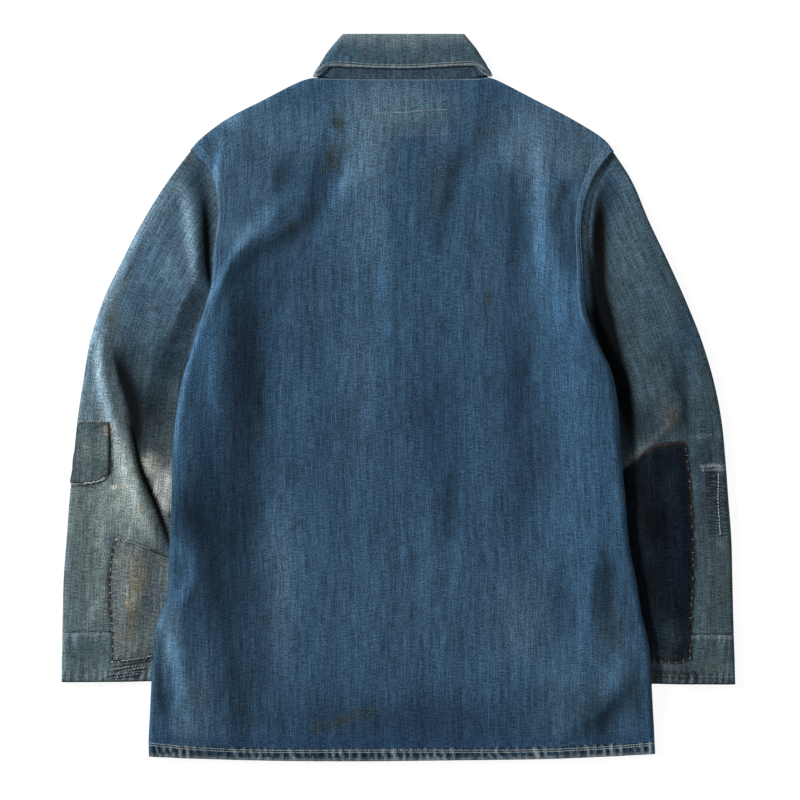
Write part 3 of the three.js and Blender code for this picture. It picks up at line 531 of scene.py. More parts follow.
sleeveColour = {
    "left": {
        "base": (84, 100, 106),
        # Spots of tone, partly fading and partly painted light and shade: the dark ones near (-262, 40) and
        # (-276, -6) are painted shade in the hollow below the elbow ridge, the one at (-302, -70) dims a
        # crease's highlight, and the near-white ones near (-272, -74) and (-260, -102) are faded cloth
        # brightened further as painted light
        "spots": [
            (-240, 205, 34, 50, (66, 92, 110), 0.9), (-275, 150, 30, 50, (69, 96, 117), 0.9),
            (-292, 112, 16, 22, (54, 80, 100), 0.85), (-250, 110, 34, 60, (62, 89, 109), 0.9),
            (-252, 140, 12, 20, (92, 122, 142), 0.7), (-216, 122, 8, 8, (88, 118, 140), 0.8),
            (-224, 244, 16, 18, (58, 84, 104), 0.85), (-335, 60, 10, 60, (84, 111, 130), 0.8),
            (-290, 70, 22, 44, (60, 86, 105), 0.9),
            (-262, 40, 26, 34, (47, 69, 84), 0.9), (-348, -2, 9, 30, (88, 110, 122), 0.8),
            (-276, -6, 18, 20, (44, 60, 70), 0.85), (-262, -20, 14, 12, (60, 74, 80), 0.6),
            (-272, -74, 12, 14, (180, 185, 174), 0.9), (-260, -102, 12, 24, (226, 234, 230), 0.95),
            (-258, -58, 7, 18, (84, 94, 96), 0.8),
            (-254, -116, 8, 12, (128, 136, 134), 0.8), (-304, -66, 9, 30, (120, 134, 136), 0.8),
            (-300, -104, 20, 40, (132, 143, 138), 0.85), (-302, -70, 5, 16, (88, 99, 101), 0.7),
            (-288, -136, 16, 22, (124, 136, 134), 0.8),
            (-350, -120, 14, 40, (94, 106, 104), 0.85), (-348, -185, 14, 50, (80, 91, 90), 0.85),
            (-330, -140, 10, 60, (118, 129, 126), 0.7), (-326, -230, 12, 40, (104, 115, 113), 0.7),
            (-345, -282, 26, 18, (62, 78, 83), 0.8), (-352, -300, 22, 10, (80, 94, 97), 0.6),
            (-326, -267, 8, 16, (58, 74, 82), 0.7), (-286, -300, 30, 10, (98, 112, 114), 0.8),
        ],
        "lines": [
            # Painted highlight on the sleeve beside the armhole, then painted shadow in the gap under the
            # body's overhanging edge
            ([(-240, 232), (-234, 205), (-229, 170), (-224, 130)], 6, (132, 164, 186), 0.9),
            ([(-228, 252), (-218, 225), (-214.5, 190), (-213, 151), (-211, 132)], 9, (20, 38, 52), 0.9),
            ([(-215, 215), (-213, 180), (-211.5, 151), (-209.5, 130), (-208, 119)],
             (3.6, 3.2), (3, 8, 13), 1.5),
            # A pale line just inside the sleeve's outer edge, then painted shadow where the sleeve meets the
            # body's edge lower down
            ([(-250, 232), (-286, 178), (-306, 138), (-323, 98), (-334, 60)], 5, (118, 147, 168), 0.65),
            ([(-228, 60), (-238, 20), (-246, -30), (-250, -60)], 5, (34, 48, 58), 0.5),
            # Painted highlight on the ridge above the elbow, then painted shade in the hollow beside it and
            # painted shadow in its crease
            ([(-334, 75), (-330, 35), (-325, 5), (-317, -25), (-309, -50)],
             (4.5, 6), (140, 166, 182), 0.9),
            ([(-316, 62), (-308, 30), (-299, 2), (-291.5, -24), (-285, -50)],
             (23, 4.5), (14, 24, 32), 1.1),
            ([(-312, 44), (-306, 22), (-297, -5), (-291, -32), (-285, -58)], (10, 4), (5, 10, 14), 1.5),
            # Painted highlight on the forearm's ridge, then painted shadow in the gap of the fold
            ([(-314, -32), (-308, -55), (-297, -92), (-283, -130), (-269, -158)],
             (5, 12), (154, 168, 166), 0.9),
            ([(-295, -34), (-289.5, -52), (-284, -78), (-270, -113), (-259, -143), (-253, -164)],
             3.4, (5, 6, 6), 2.2),
            # Painted shadow on the sleeve along the edges of the forearm and elbow patches
            ([(-312, -155), (-318, -178), (-319, -220), (-317, -252), (-316, -291)],
             2.6, (20, 24, 30), 0.85),
            ([(-362, -97), (-336, -96), (-320, -90)], 2.2, (26, 30, 34), 0.8),
            ([(-316.5, -30), (-315, -50), (-316, -84)], 2.2, (30, 34, 38), 0.7),
        ],
        "marks": [
            (-268, 97, 7, 5, (44, 56, 60), 0.7), (-252, 102, 7, 3, (54, 68, 74), 0.4),
            (-238, 104, 5, 4, (46, 58, 62), 0.6), (-319, -36, 3, 5, (188, 170, 146), 0.8),
            # The near-black mark at (-251, -130) is painted shadow in the small gap at the end of the
            # elbow's fold, not a stain
            (-285, -123, 2.5, 3, (150, 118, 92), 0.7), (-251, -130, 3, 6, (10, 12, 14), 0.9),
            (-350, -150, 6, 8, (70, 82, 88), 0.5), (-330, -250, 7, 8, (68, 80, 84), 0.5),
            (-311, -97, 5, 2, (196, 196, 180), 0.9), (-303, -98, 3, 2, (178, 178, 164), 0.7),
        ],
    },
    "right": {
        "base": (57, 74, 82),
        "spots": [
            (245, 210, 26, 50, (62, 86, 102), 0.9), (262, 150, 30, 60, (64, 86, 98), 0.85),
            (285, 90, 26, 60, (60, 83, 97), 0.8), (272, 30, 22, 40, (56, 74, 84), 0.8),
            (322, 70, 14, 60, (50, 72, 92), 0.7), (305, 60, 12, 30, (52, 74, 92), 0.6),
            (231, 232, 12, 26, (42, 64, 86), 0.8), (300, -20, 12, 22, (66, 74, 76), 0.6),
            (332, -150, 8, 34, (52, 64, 68), 0.8), (346, -110, 9, 22, (48, 60, 66), 0.7),
            (334, 15, 8, 30, (64, 84, 94), 0.7), (338, -46, 10, 20, (64, 78, 88), 0.6),
            (345, -30, 12, 40, (55, 72, 80), 0.8), (270, -30, 16, 24, (26, 38, 46), 0.8),
            (330, -60, 10, 50, (36, 50, 62), 0.7), (352, -120, 12, 60, (52, 66, 74), 0.8),
            (350, -210, 14, 50, (64, 77, 79), 0.85), (350, -262, 16, 16, (72, 86, 88), 0.85),
            (350, -300, 18, 18, (74, 86, 86), 0.85), (300, -305, 34, 14, (54, 60, 62), 0.8),
        ],
        "lines": [
            # Painted shadow on the sleeve in the gap beside the body's raised edge
            ([(222, 226), (220, 184), (218, 150), (219, 117), (227, 85), (235, 50), (246, 15), (252, -15),
              (256, -50)],
             (11, 14), (2, 4, 7), 1.7),
            # Painted light on the sleeve next to the armhole seam, inside the shadow cast by the body's edge
            ([(224, 250), (209, 215), (206, 187), (206, 143), (209, 100)], 4.5, (104, 134, 156), 0.95),
            # Painted shade in the trough beside the upper arm's ridge
            ([(311, 62), (313, 30), (315, -5), (320, -38)], 5.5, (26, 40, 50), 0.85),
            ([(304, -22), (282, -46), (260, -65), (247, -77)], (2.5, 4), (92, 98, 96), 0.5),
            ([(322, -44), (338, -42), (356, -41)], 2.5, (88, 102, 108), 0.5),
        ],
        "marks": [
            (300, -20, 5, 7, (60, 50, 40), 0.8), (298, -32, 4, 5, (64, 56, 48), 0.5),
            (286, 4, 5, 4, (54, 56, 54), 0.5), (336, 30, 5, 8, (44, 56, 64), 0.5),
            (355, -160, 5, 10, (84, 94, 94), 0.5), (348, -76, 12, 3, (120, 134, 134), 0.6),
        ],
    },
}
cuffColour = {"edge": (24, 28, 31), "seam": (140, 154, 158)}
standColour = {"base": (50, 66, 80), "spots": [(0, 352, 90, 6, (58, 76, 90), 0.6)]}
collarColour = {
    "base": (64, 84, 96), "edge": (158, 168, 170), "crown": (112, 126, 132),
    "spots": [
        (-70, 376, 24, 14, (62, 88, 108), 0.8), (0, 392, 80, 7, (92, 107, 115), 0.7),
        (30, 375, 16, 10, (68, 86, 95), 0.6), (70, 380, 20, 14, (66, 87, 98), 0.6),
        (-20, 372, 24, 8, (58, 79, 93), 0.6),
    ],
    "marks": [(-36, 381, 7, 3, (62, 70, 74), 0.5), (52, 378, 8, 3, (60, 68, 70), 0.5)],
}


# Numbers and colours of a shader, written as expressions
class Shade:
    def __init__(self, work, socket):
        self.work = work
        self.socket = socket

    def __add__(self, other):
        return self.work.maths("ADD", self, other)

    def __radd__(self, other):
        return self.work.maths("ADD", other, self)

    def __sub__(self, other):
        return self.work.maths("SUBTRACT", self, other)

    def __rsub__(self, other):
        return self.work.maths("SUBTRACT", other, self)

    def __mul__(self, other):
        return self.work.maths("MULTIPLY", self, other)

    def __rmul__(self, other):
        return self.work.maths("MULTIPLY", other, self)


class Finish:
    def __init__(self, name):
        self.material = bpy.data.materials.new(name)
        self.material.use_nodes = True
        self.tree = self.material.node_tree
        self.shader = self.tree.nodes["Principled BSDF"]

    def node(self, kind, settings=None, sockets=None, output=0):
        made = self.tree.nodes.new(kind)
        for key, value in (settings or {}).items():
            setattr(made, key, value)
        for key, value in (sockets or {}).items():
            self.give(made.inputs[key], value)
        return Shade(self, made.outputs[output])

    def give(self, socket, value):
        if isinstance(value, Shade):
            self.tree.links.new(value.socket, socket)
        else:
            socket.default_value = value

    def maths(self, operation, first, second):
        return self.node("ShaderNodeMath", {"operation": operation}, {0: first, 1: second})

    def limit(self, value, low, high):
        raised = self.maths("MAXIMUM", value, low)
        return self.maths("MINIMUM", raised, high)

    def vector(self, operation, sockets):
        return self.node("ShaderNodeVectorMath", {"operation": operation}, sockets)

    # A random pattern whose grains have a size across and a size along the cloth, in metres
    def grain(self, place, across, along, detail, start):
        scaled = self.vector("MULTIPLY", {0: place, 1: (1 / across, 1 / along, 1.0)})
        moved = self.vector("ADD", {0: scaled, 1: (start, start * 1.7, 0.0)})
        sockets = {"Vector": moved, "Scale": 1.0, "Detail": detail, "Roughness": 0.6}
        return self.node("ShaderNodeTexNoise", {"noise_dimensions": "2D"}, sockets)

    # Grains that stay with the object's own shape
    def ownGrain(self, size, detail, start):
        return self.grain(self.node("ShaderNodeTexCoord", {}, {}, 3), size, size, detail, start)

    def scale(self, colour, amount):
        return self.vector("SCALE", {0: colour, "Scale": amount})

    def blend(self, share, first, second):
        return self.node("ShaderNodeMix", {"data_type": "RGBA"}, {0: share, 6: first, 7: second}, 2)

    def bump(self, strength, distance, height):
        sockets = {"Strength": strength, "Distance": distance, "Height": height}
        return self.node("ShaderNodeBump", {}, sockets)

    def put(self, **sockets):
        for key, value in sockets.items():
            self.give(self.shader.inputs[key.replace("_", " ")], value)
        return self.material


# Worn denim: streaky warp, crossing weft, twill and pale grains over the painted tint
denimLook = {
    "streak": 2.1, "band": 0.8, "weft": 1.6, "speck": 3.2, "cloud": 0.5, "pale": 0.7,
    "bump": 0.7, "roughness": 0.92, "lowest": 0.45, "specular": 0.1,
}
# Size across and along in metres, detail and starting place of each kind of grain
denimGrains = {
    "streak": (0.0012, 0.030, 3.0, 3.1), "band": (0.0060, 0.220, 2.0, 9.7),
    "weft": (0.011, 0.0011, 2.0, 5.3), "speck": (0.0013, 0.0015, 2.0, 1.9),
    "cloud": (0.009, 0.012, 3.0, 6.1),
}
twillPerMetre = 7400.0


def makeDenim(name, look):
    work = Finish(name)
    tint = work.node("ShaderNodeAttribute", {"attribute_name": "tint"})
    place = work.node("ShaderNodeUVMap", {"uv_map": "cloth"})
    grains = {key: work.grain(place, *sizes) for key, sizes in denimGrains.items()}
    across = work.node("ShaderNodeSeparateXYZ", {}, {0: place})
    along = Shade(work, across.socket.node.outputs[1])
    twill = work.maths("SINE", (across + along * 0.8) * twillPerMetre, 0.0)
    level = 1.0 + twill * 0.04
    for key, grain in grains.items():
        level = level + (grain - 0.5) * look[key]
    dyed = work.scale(tint, work.limit(level, look["lowest"], 2.6))
    streak = grains["streak"] * 0.5
    weft = grains["weft"] * 0.3
    speck = grains["speck"]
    paleShare = work.limit((streak + speck * 0.5 + weft - 0.72) * 5.0, 0.0, 1.0) * look["pale"]
    return work.put(
        Base_Color=work.blend(paleShare, dyed, work.scale(tint, 1.9)),
        Roughness=look["roughness"] - speck * 0.08,
        Specular_IOR_Level=look["specular"],
        Normal=work.bump(look["bump"], 0.0006, streak + weft + speck * 0.35 + twill * 0.06),
    )


def makeThread(name, colour):
    work = Finish(name)
    grains = work.ownGrain(0.0006, 1.0, 2.2)
    base = tuple(float(part) for part in linear(colour))
    dark = tuple(part * 0.55 for part in base)
    shade = work.blend(work.limit(grains * 2.0 - 0.5, 0.0, 1.0), dark + (1.0,), base + (1.0,))
    return work.put(Base_Color=shade, Roughness=0.75 + grains * 0.1)


def makeBrass(name):
    work = Finish(name)
    cloud = work.ownGrain(0.004, 3.0, 4.4)
    spots = work.limit(cloud * 3.0 - 1.2, 0.0, 1.0)
    colour = work.blend(spots, (0.30, 0.19, 0.08, 1.0), (0.10, 0.07, 0.045, 1.0))
    normal = work.bump(0.3, 0.0003, cloud)
    return work.put(Base_Color=colour, Roughness=0.35 + cloud * 0.25, Metallic=0.9, Normal=normal)


darkLook = {"streak": 2.4, "speck": 3.0, "weft": 2.4, "pale": 0.9, "lowest": 0.4, "specular": 0.05}
denims = {
    "body": {}, "sleeve": {"weft": 1.8}, "cuff": {"weft": 1.9}, "patch": {"weft": 2.2},
    "collar": {"streak": 1.7, "weft": 1.9, "band": 0.5}, "darkPatch": darkLook,
}
threadColours = {
    "paleThread": (168, 178, 182), "fadedThread": (122, 142, 154), "whiteThread": (206, 210, 208),
    "blackThread": (13, 16, 21), "rustThread": (62, 46, 40),
}
finishes = {name: makeDenim(name + "Denim", {**denimLook, **look}) for name, look in denims.items()}
finishes.update({name: makeThread(name, colour) for name, colour in threadColours.items()})
finishes["brass"] = makeBrass("agedBrass")
print("finishes made")


# Meshes
def addObject(name, data):
    made = bpy.data.objects.new(name, data)
    bpy.context.scene.collection.objects.link(made)
    return made


def normalsOf(grid, ring=False):
    sides = np.pad(grid, ((0, 0), (1, 1), (0, 0)), "wrap" if ring else "edge")
    ends = np.pad(grid, ((1, 1), (0, 0), (0, 0)), "edge")
    normal = np.cross(sides[:, 2:] - sides[:, :-2], ends[2:] - ends[:-2])
    return normal / np.maximum(np.linalg.norm(normal, axis=-1, keepdims=True), 1e-9)


# The distance walked over the cloth to each point of a grid, across from its middle and along
def walked(grid):
    across = np.linalg.norm(np.diff(grid, axis=1), axis=-1)
    u = np.concatenate([np.zeros((len(grid), 1)), np.cumsum(across, 1)], 1)
    u = u - u[:, u.shape[1] // 2][:, None]
    along = np.linalg.norm(np.diff(grid, axis=0), axis=-1).mean(1)
    v = np.concatenate([[0], np.cumsum(along)])
    return np.stack([u, np.broadcast_to(v[:, None], u.shape)], -1)


# A closed wall between two matching grids, with its colour and the weave's coordinates
# Where the weave is given, each row of the grids is a ring and the wall is a tube
def makeShell(name, outer, inner, finish, tint, weave=None):
    rows, columns = outer.shape[:2]
    count = rows * columns
    spots = np.concatenate([outer.reshape(-1, 3), inner.reshape(-1, 3)]) / 1000
    spots[:, 2] = np.maximum(spots[:, 2], 0)
    wrap = columns - 1 if weave is None else columns
    j, i = np.meshgrid(np.arange(rows - 1), np.arange(wrap), indexing="ij")
    a = j * columns + i
    b = j * columns + (i + 1) % columns
    skin = np.stack([a, b, b + columns, a + columns], -1).reshape(-1, 4)
    bottom = skin[:wrap]
    top = skin[-wrap:]
    rims = [(bottom[:, 1], bottom[:, 0]), (top[:, 3], top[:, 2])]
    if weave is None:
        cells = skin.reshape(rows - 1, wrap, 4)
        rims += [(cells[:, 0, 0], cells[:, 0, 3]), (cells[:, -1, 2], cells[:, -1, 1])]
        weave = walked((outer + inner) / 2)
    edges = [np.stack([first, second, second + count, first + count], -1) for first, second in rims]
    faces = np.concatenate([skin, skin[:, ::-1] + count, *edges])
    mesh = bpy.data.meshes.new(name)
    mesh.from_pydata(spots.tolist(), [], faces.tolist())
    uv = weave.reshape(-1, 2)[faces.reshape(-1) % count] / 1000
    mesh.uv_layers.new(name="cloth").data.foreach_set("uv", uv.astype(np.float32).reshape(-1))
    shade = np.concatenate([tint.reshape(-1, 3)] * 2)
    shade = np.concatenate([np.clip(shade, 0, 1), np.ones((2 * count, 1))], 1)
    attribute = mesh.color_attributes.new("tint", "FLOAT_COLOR", "POINT")
    attribute.data.foreach_set("color", shade.astype(np.float32).reshape(-1))
    mesh.shade_smooth()
    mesh.materials.append(finish)
    return addObject(name, mesh)


# A wall round the middle of a cloth, raised on its top side
def makeCloth(name, middle, rise, finish, tint, weave=None):
    normal = normalsOf(middle, weave is not None)
    outer = middle + normal * (half + rise)[..., None]
    return makeShell(name, outer, middle - normal * half, finishes[finish], tint, weave)


def joinedSurface(objects):
    spots = []
    faces = []
    for item in objects:
        start = len(spots)
        spots += [vertex.co.copy() for vertex in item.data.vertices]
        faces += [[start + k for k in face.vertices] for face in item.data.polygons]
    return BVHTree.FromPolygons(spots, faces)


# Puckers that run across a sewn band, leaning a little, with a wandering pitch
def roping(along, across, pitch, lean, seed):
    wander = 1.6 * ripple(along, 0 * along, 34, 1, seed) + 0.7 * ripple(along, across, 11, 9, seed + 1)
    wave = np.sin(2 * np.pi * (along + lean * across) / pitch + 2 * wander)
    strength = 0.65 + 0.35 * ripple(along, 0 * along, 17, 1, seed + 2)
    return wave * strength


# Pitch in millimetres, lean and seed of the puckers at each sewn edge
puckers = {
    "hem": (9.2, 0.22, 21), "armhole": {"left": (8.0, 0.5, 31), "right": (8.0, 0.5, 41)},
    "cuff": {"left": (7.6, 0.12, 91), "right": (7.6, 0.12, 95)},
    "leaf": (7.5, 0.4, 101), "stand": (6.5, 0.3, 121),
}

# Back of the body
backMake = {
    "hemRows": 16, "lowRows": 68, "highRows": 112, "topColumns": 206, "rollSteps": 6,
    "hemShare": 0.030, "lowShare": 0.60,
}


def backShares():
    hem = np.linspace(0, backMake["hemShare"], backMake["hemRows"] + 1)
    low = np.linspace(backMake["hemShare"], backMake["lowShare"], backMake["lowRows"] + 1)
    high = np.linspace(backMake["lowShare"], 1, backMake["highRows"] + 1)
    return np.concatenate([hem, low[1:], high[1:]])


def backGrid():
    plans = []
    depths = []
    lefts = []
    rights = []
    steps = backMake["rollSteps"]
    for v in backShares():
        row = bodyRow(v)
        sides = {}
        for side in ("left", "right"):
            y = fromSide(row, side, 0.0)[1]
            centre = rollCentre(side, y)
            radius = rollRadius(side, y)
            angles = np.pi * np.arange(1, steps) / steps
            flat = np.linspace(tuckWidth(side, y), centre, 5)
            distances = np.concatenate([flat, centre - radius * np.sin(angles)])
            heights = np.concatenate([0 * flat, radius * (1 - np.cos(angles))]) + underLevel(y)
            sides[side] = (distances, heights, centre, max(seamBand["width"], centre + 3))
        leftDistances, leftHeights, leftStart, leftBand = sides["left"]
        rightDistances, rightHeights, rightStart, rightBand = sides["right"]
        end = row.length
        middle = np.linspace(leftBand + 2.5, end - rightBand - 2.5, backMake["topColumns"] + 1)
        start = np.linspace(leftStart, leftBand, 6)[:-1]
        top = np.concatenate([
            start, [leftBand, leftBand + 1.2], middle,
            [end - rightBand - 1.2, end - rightBand], end - np.linspace(rightStart, rightBand, 6)[:-1][::-1],
        ])
        distances = np.concatenate([leftDistances, top, end - rightDistances[::-1]])
        plans.append(row.at(distances))
        blank = np.full(len(top), np.nan)
        depths.append(np.concatenate([leftHeights, blank, rightHeights[::-1]]))
        lefts.append(distances)
        rights.append(end - distances)
    return np.array(plans), np.array(depths), np.array(lefts), np.array(rights)


def hemDistance(x, y):
    return y - np.interp(x, hemLine.points[:, 0], hemLine.points[:, 1])


def makeBack():
    plan, depth, fromLeft, fromRight = backGrid()
    x = plan[..., 0]
    y = plan[..., 1]
    onTop = np.isnan(depth)
    z = np.where(onTop, backHeight(x, y, fromLeft, fromRight), depth)
    hemUp = hemDistance(x, y)
    ropes = roping(x, hemUp, *puckers["hem"])
    inHem = 1 - smooth(hemUp, hemBand["width"] - 1, hemBand["width"] + 2)
    rise = hemBand["rise"] * inHem * onTop
    rise = rise + 1.1 * ropes * inHem * smooth(hemUp, -1, 2.5) * onTop
    above = np.exp(-((hemUp - 20) / 9) ** 2)
    rise = rise + 0.16 * ropes * above * onTop
    bands = np.zeros(x.shape)
    creases = np.zeros(x.shape)
    for side, distance in (("left", fromLeft), ("right", fromRight)):
        width = np.maximum(seamBand["width"], rollCentre(side, y) + 3)
        shown = smooth(y, puckerStart[side], puckerStart[side] + 50) * onTop
        near = np.exp(-((distance - width * 0.55) / 4.5) ** 2)
        bands = np.maximum(bands, (1 - smooth(distance, width, width + 2.5)) * shown)
        creases = creases + roping(y, distance, *puckers["armhole"][side]) * near * shown
    rise = rise + seamBand["rise"] * bands + 0.34 * creases
    shoulderEdge = onTop * shoulderShape(x, y)[0]
    rise = rise * (1 - shoulderEdge)
    tint = shadeLines(paint(x, y, bodyColour["base"], bodyColour["spots"]), x, y, bodyShadeAndLight)
    cloudy = 0.10 * ripple(x, y, 16, 70, 51) + 0.07 * ripple(x, y, 6, 26, 52)
    tint = tint * (1 + cloudy + 0.05 * ripple(x, y, 40, 30, 53))[..., None]
    tint = cover(tint, bodyColour["stainTone"], markShare(x, y, bodyColour["marks"], 4.0, 70))
    inBox = smooth(x, -27, -24) * (1 - smooth(x, 51, 54)) * smooth(y, 286, 289) * (1 - smooth(y, 313, 316))
    tint = cover(tint, bodyColour["box"], 0.14 * inBox)
    # The hem's rope tops are painted lighter and the hollows between them darker, partly wear on the tops
    # and partly painted highlight and shade
    lift = np.clip(ropes, -1, 1) * inHem * onTop
    tint = tint * ((1 + 0.75 * lift) * (1 - 0.58 * inHem * onTop))[..., None]
    tint = cover(tint, bodyColour["ropeTops"], 0.85 * np.clip(lift - 0.25, 0, 0.6))
    worn = np.exp(-((hemUp - 1) / 2.2) ** 2) * onTop * (0.6 + 0.4 * ripple(x, y, 6, 6, 57))
    tint = cover(tint, bodyColour["wornEdge"], 0.6 * worn)
    # Painted shade in a band just above the hem's stitching
    shadeAboveHem = np.exp(-((hemUp - 19) / 5) ** 2) * onTop
    tint = cover(tint, bodyColour["aboveHem"], 0.55 * shadeAboveHem * (0.7 + 0.3 * ropes))
    # The armhole puckers are painted lighter on their ridges and darker between, partly wear and partly
    # painted highlight and shade; the felled band is painted lighter
    tint = tint * (1 + 0.34 * creases + 0.40 * bands)[..., None]
    tint = tint * (1 + 0.25 * shoulderEdge)[..., None]
    return makeCloth("back_cloth", np.stack([x, y, z], -1), rise, "body", tint)


# Fronts, which lie under the back
def bend(points, share):
    a, b, c = (np.asarray(point, float) for point in points)
    share = np.asarray(share, float)[..., None]
    return (1 - share) ** 2 * a + 2 * share * (1 - share) * b + share ** 2 * c


frontMake = {"rows": 120, "columns": 60, "neckColumn": 0.42, "neckEnd": 290.6}
frontNeck = [(-90.5, 352), (-92, 300.4), (-6, 290.8)]
frontColour = {
    "base": (44, 68, 90),
    "spots": [(-120, 60, 60, 160, (52, 78, 100), 0.6), (120, -80, 60, 160, (50, 76, 98), 0.6)],
}


def makeFront(side):
    isLeft = side == "left"
    closingX = centreX + placket["lap"] if isLeft else centreX - placket["lap"]
    shares = np.linspace(0, 1, frontMake["rows"] + 1)
    rows = [bodyRow(v) for v in shares]
    seams = np.array([fromSide(row, side, seamDistance(row, side) + edgeGap) for row in rows])
    hemRow = rows[0]
    hemWidth = seamDistance(hemRow, side) + edgeGap
    closingDistance = abs(closingX - hemRow.points[0 if isLeft else -1][0])
    shoulder = rows[-1]
    shoulderStart = seamDistance(shoulder, side) + edgeGap
    reachIndex = int(round(rowSteps * shoulderShare))
    neckIndex = reachIndex if isLeft else rowSteps - reachIndex
    neckReach = shoulder.reach[neckIndex] if isLeft else shoulder.length - shoulder.reach[neckIndex]
    curve = bend(frontNeck, np.linspace(0, 1, 25))
    if not isLeft:
        curve[:, 0] = mirrorX(curve[:, 0])
    neck = Line(np.vstack([shoulder.points[neckIndex], curve[1:], [[closingX, frontMake["neckEnd"]]]]))
    split = frontMake["neckColumn"]

    def top(u):
        u = np.asarray(u, float)
        onShoulder = fromSide(shoulder, side, mix(shoulderStart, neckReach, np.minimum(u / split, 1)))
        onNeck = neck.share(np.clip((u - split) / (1 - split), 0, 1))
        return np.where((u <= split)[..., None], onShoulder, onNeck)

    def bottom(u):
        return fromSide(hemRow, side, mix(hemWidth, closingDistance, np.asarray(u, float)))

    def seamAt(v):
        return np.stack([np.interp(v, shares, seams[:, k]) for k in (0, 1)], -1)

    def closing(v):
        v = np.asarray(v, float)
        return np.stack([0 * v + closingX, mix(bottom(1.0)[1], frontMake["neckEnd"], v)], -1)

    plan = between(bottom, top, seamAt, closing)
    onShoulder = np.linspace(0, split, 25)
    beyond = np.linspace(split, 1, frontMake["columns"] - 24)[1:]
    u, v = np.meshgrid(np.concatenate([onShoulder, beyond]), shares)
    grid = plan(u, v)
    x = grid[..., 0]
    y = grid[..., 1]
    middle = np.stack([x, y, frontHeight(side, x, y)], -1)
    if isLeft:
        middle = middle[:, ::-1]
        x = middle[..., 0]
        y = middle[..., 1]
    tint = paint(x, y, frontColour["base"], frontColour["spots"])
    tint = tint * (1 + 0.1 * ripple(x, y, 16, 70, 54))[..., None]
    tint = tint * (1 + 0.35 * np.exp(-((x - closingX) / 5) ** 2))[..., None]
    return makeCloth(f"front_{side}_cloth", middle, 0 * x, "body", tint)


# Sleeves: flattened tubes from armhole to cuff
sleeveMake = {"rings": 178, "cuffRings": 34, "upper": 62, "lower": 26, "outer": 10, "inner": 6}
sleeveRadius = [(0, 1.4), (0.12, 4.5), (0.3, 5.2), (1, 4.2)]
sleeveCrown = [(0, 0), (0.2, 4), (0.85, 3), (1, 1)]
# How far the sleeve takes to rise to its full height as it leaves the body
rampReach = {"left": [(60, 38), (130, 20)], "right": [(50, 38), (110, 18), (170, 12)]}


class Sleeve:
    def __init__(self, side):
        self.side = side
        rows = [bodyRow(v) for v in np.linspace(1, armpitShare, 49)]
        self.armhole = Line([fromSide(row, side, seamDistance(row, side)) for row in rows])
        tip = self.armhole.points[0]
        armpit = self.armhole.points[-1]
        self.outside = smoothLine([tuple(tip)] + sleeveOutside[side])
        insideEnd = np.array(cuffInside[side], float)
        insideLength = np.linalg.norm(insideEnd - armpit)
        self.cuffStart = 1 - cuffHeight / self.outside.length
        shares = [(0, 0), (0.57, 0.26), (self.cuffStart, 1 - cuffHeight / insideLength), (1, 1)]
        end = self.outside.points[-1]
        self.plan = between(
            self.armhole.share,
            lambda u: end + (insideEnd - end) * np.asarray(u, float)[..., None],
            self.outside.share,
            lambda t: armpit + (insideEnd - armpit) * graph(shares, t)[..., None],
        )
        self.inner = (sleeveLevel - half) / 2

    def upper(self, x, y, along, across, fine=1.0):
        outOfBody = -insideEdge(self.side, x, np.minimum(y, 271))
        radius = graph(sleeveRadius, along)
        crown = graph(sleeveCrown, along) * np.sin(np.pi * across)
        free = smooth(across, 0, 0.1)
        wrinkles = foldHeight(sleeveFolds[self.side], x, y)
        small = foldHeight(sleeveCreases[self.side], x, y)
        small = small + 0.5 * ripple(x, y, 24, 40, 61) + 0.22 * ripple(x, y, 8, 15, 62)
        full = half + 2 * radius + crown + (wrinkles + fine * small) * free
        reach = graph(rampReach[self.side], y)
        return mix(sleeveLevel, full, smooth(outOfBody / reach, 0, 1))

    def ring(self, t):
        row = Line(self.plan(np.linspace(0, 1, 61), t))
        start = row.at(6.0)
        radius = (self.upper(start[0], start[1], t, 0.0, 0.0) - half) / 2
        begin = radius + half
        finish = row.length - self.inner - half
        across = np.arange(sleeveMake["upper"]) / sleeveMake["upper"]
        distance = mix(begin, finish, across)
        top = row.at(distance)
        height = self.upper(top[:, 0], top[:, 1], t, across)
        height[0] = half + 2 * radius
        innerTurn = np.pi * np.linspace(0, 1, sleeveMake["inner"] + 1)
        innerDistance = finish + self.inner * np.sin(innerTurn)
        innerHeight = half + self.inner * (1 + np.cos(innerTurn))
        underDistance = np.linspace(finish, begin, sleeveMake["lower"] + 2)[1:-1]
        outerTurn = np.pi * np.arange(sleeveMake["outer"]) / sleeveMake["outer"]
        outerDistance = begin - radius * np.sin(outerTurn)
        outerHeight = half + radius * (1 - np.cos(outerTurn))
        distances = np.concatenate([distance, innerDistance, underDistance, outerDistance])
        heights = np.concatenate([height, innerHeight, 0 * underDistance + half, outerHeight])
        flags = np.concatenate([np.ones(len(distance)), np.zeros(len(distances) - len(distance))])
        points = np.concatenate([row.at(distances), heights[:, None]], 1)
        if self.side == "left":
            return points[::-1], flags[::-1], distances[::-1]
        return points, flags, distances


def sleeveTint(side, x, y):
    colours = sleeveColour[side]
    tint = paint(x, y, colours["base"], colours["spots"], 5.0, 72)
    tint = tint * (1 + 0.09 * ripple(x, y, 12, 40, 55) + 0.07 * ripple(x, y, 30, 8, 56))[..., None]
    # Lines of painted shadow, painted shade and painted highlight in the sleeve's gaps, folds and ridges
    tint = paintLines(tint, x, y, colours["lines"])
    return paintMarks(tint, x, y, colours["marks"], 2.5, 80)


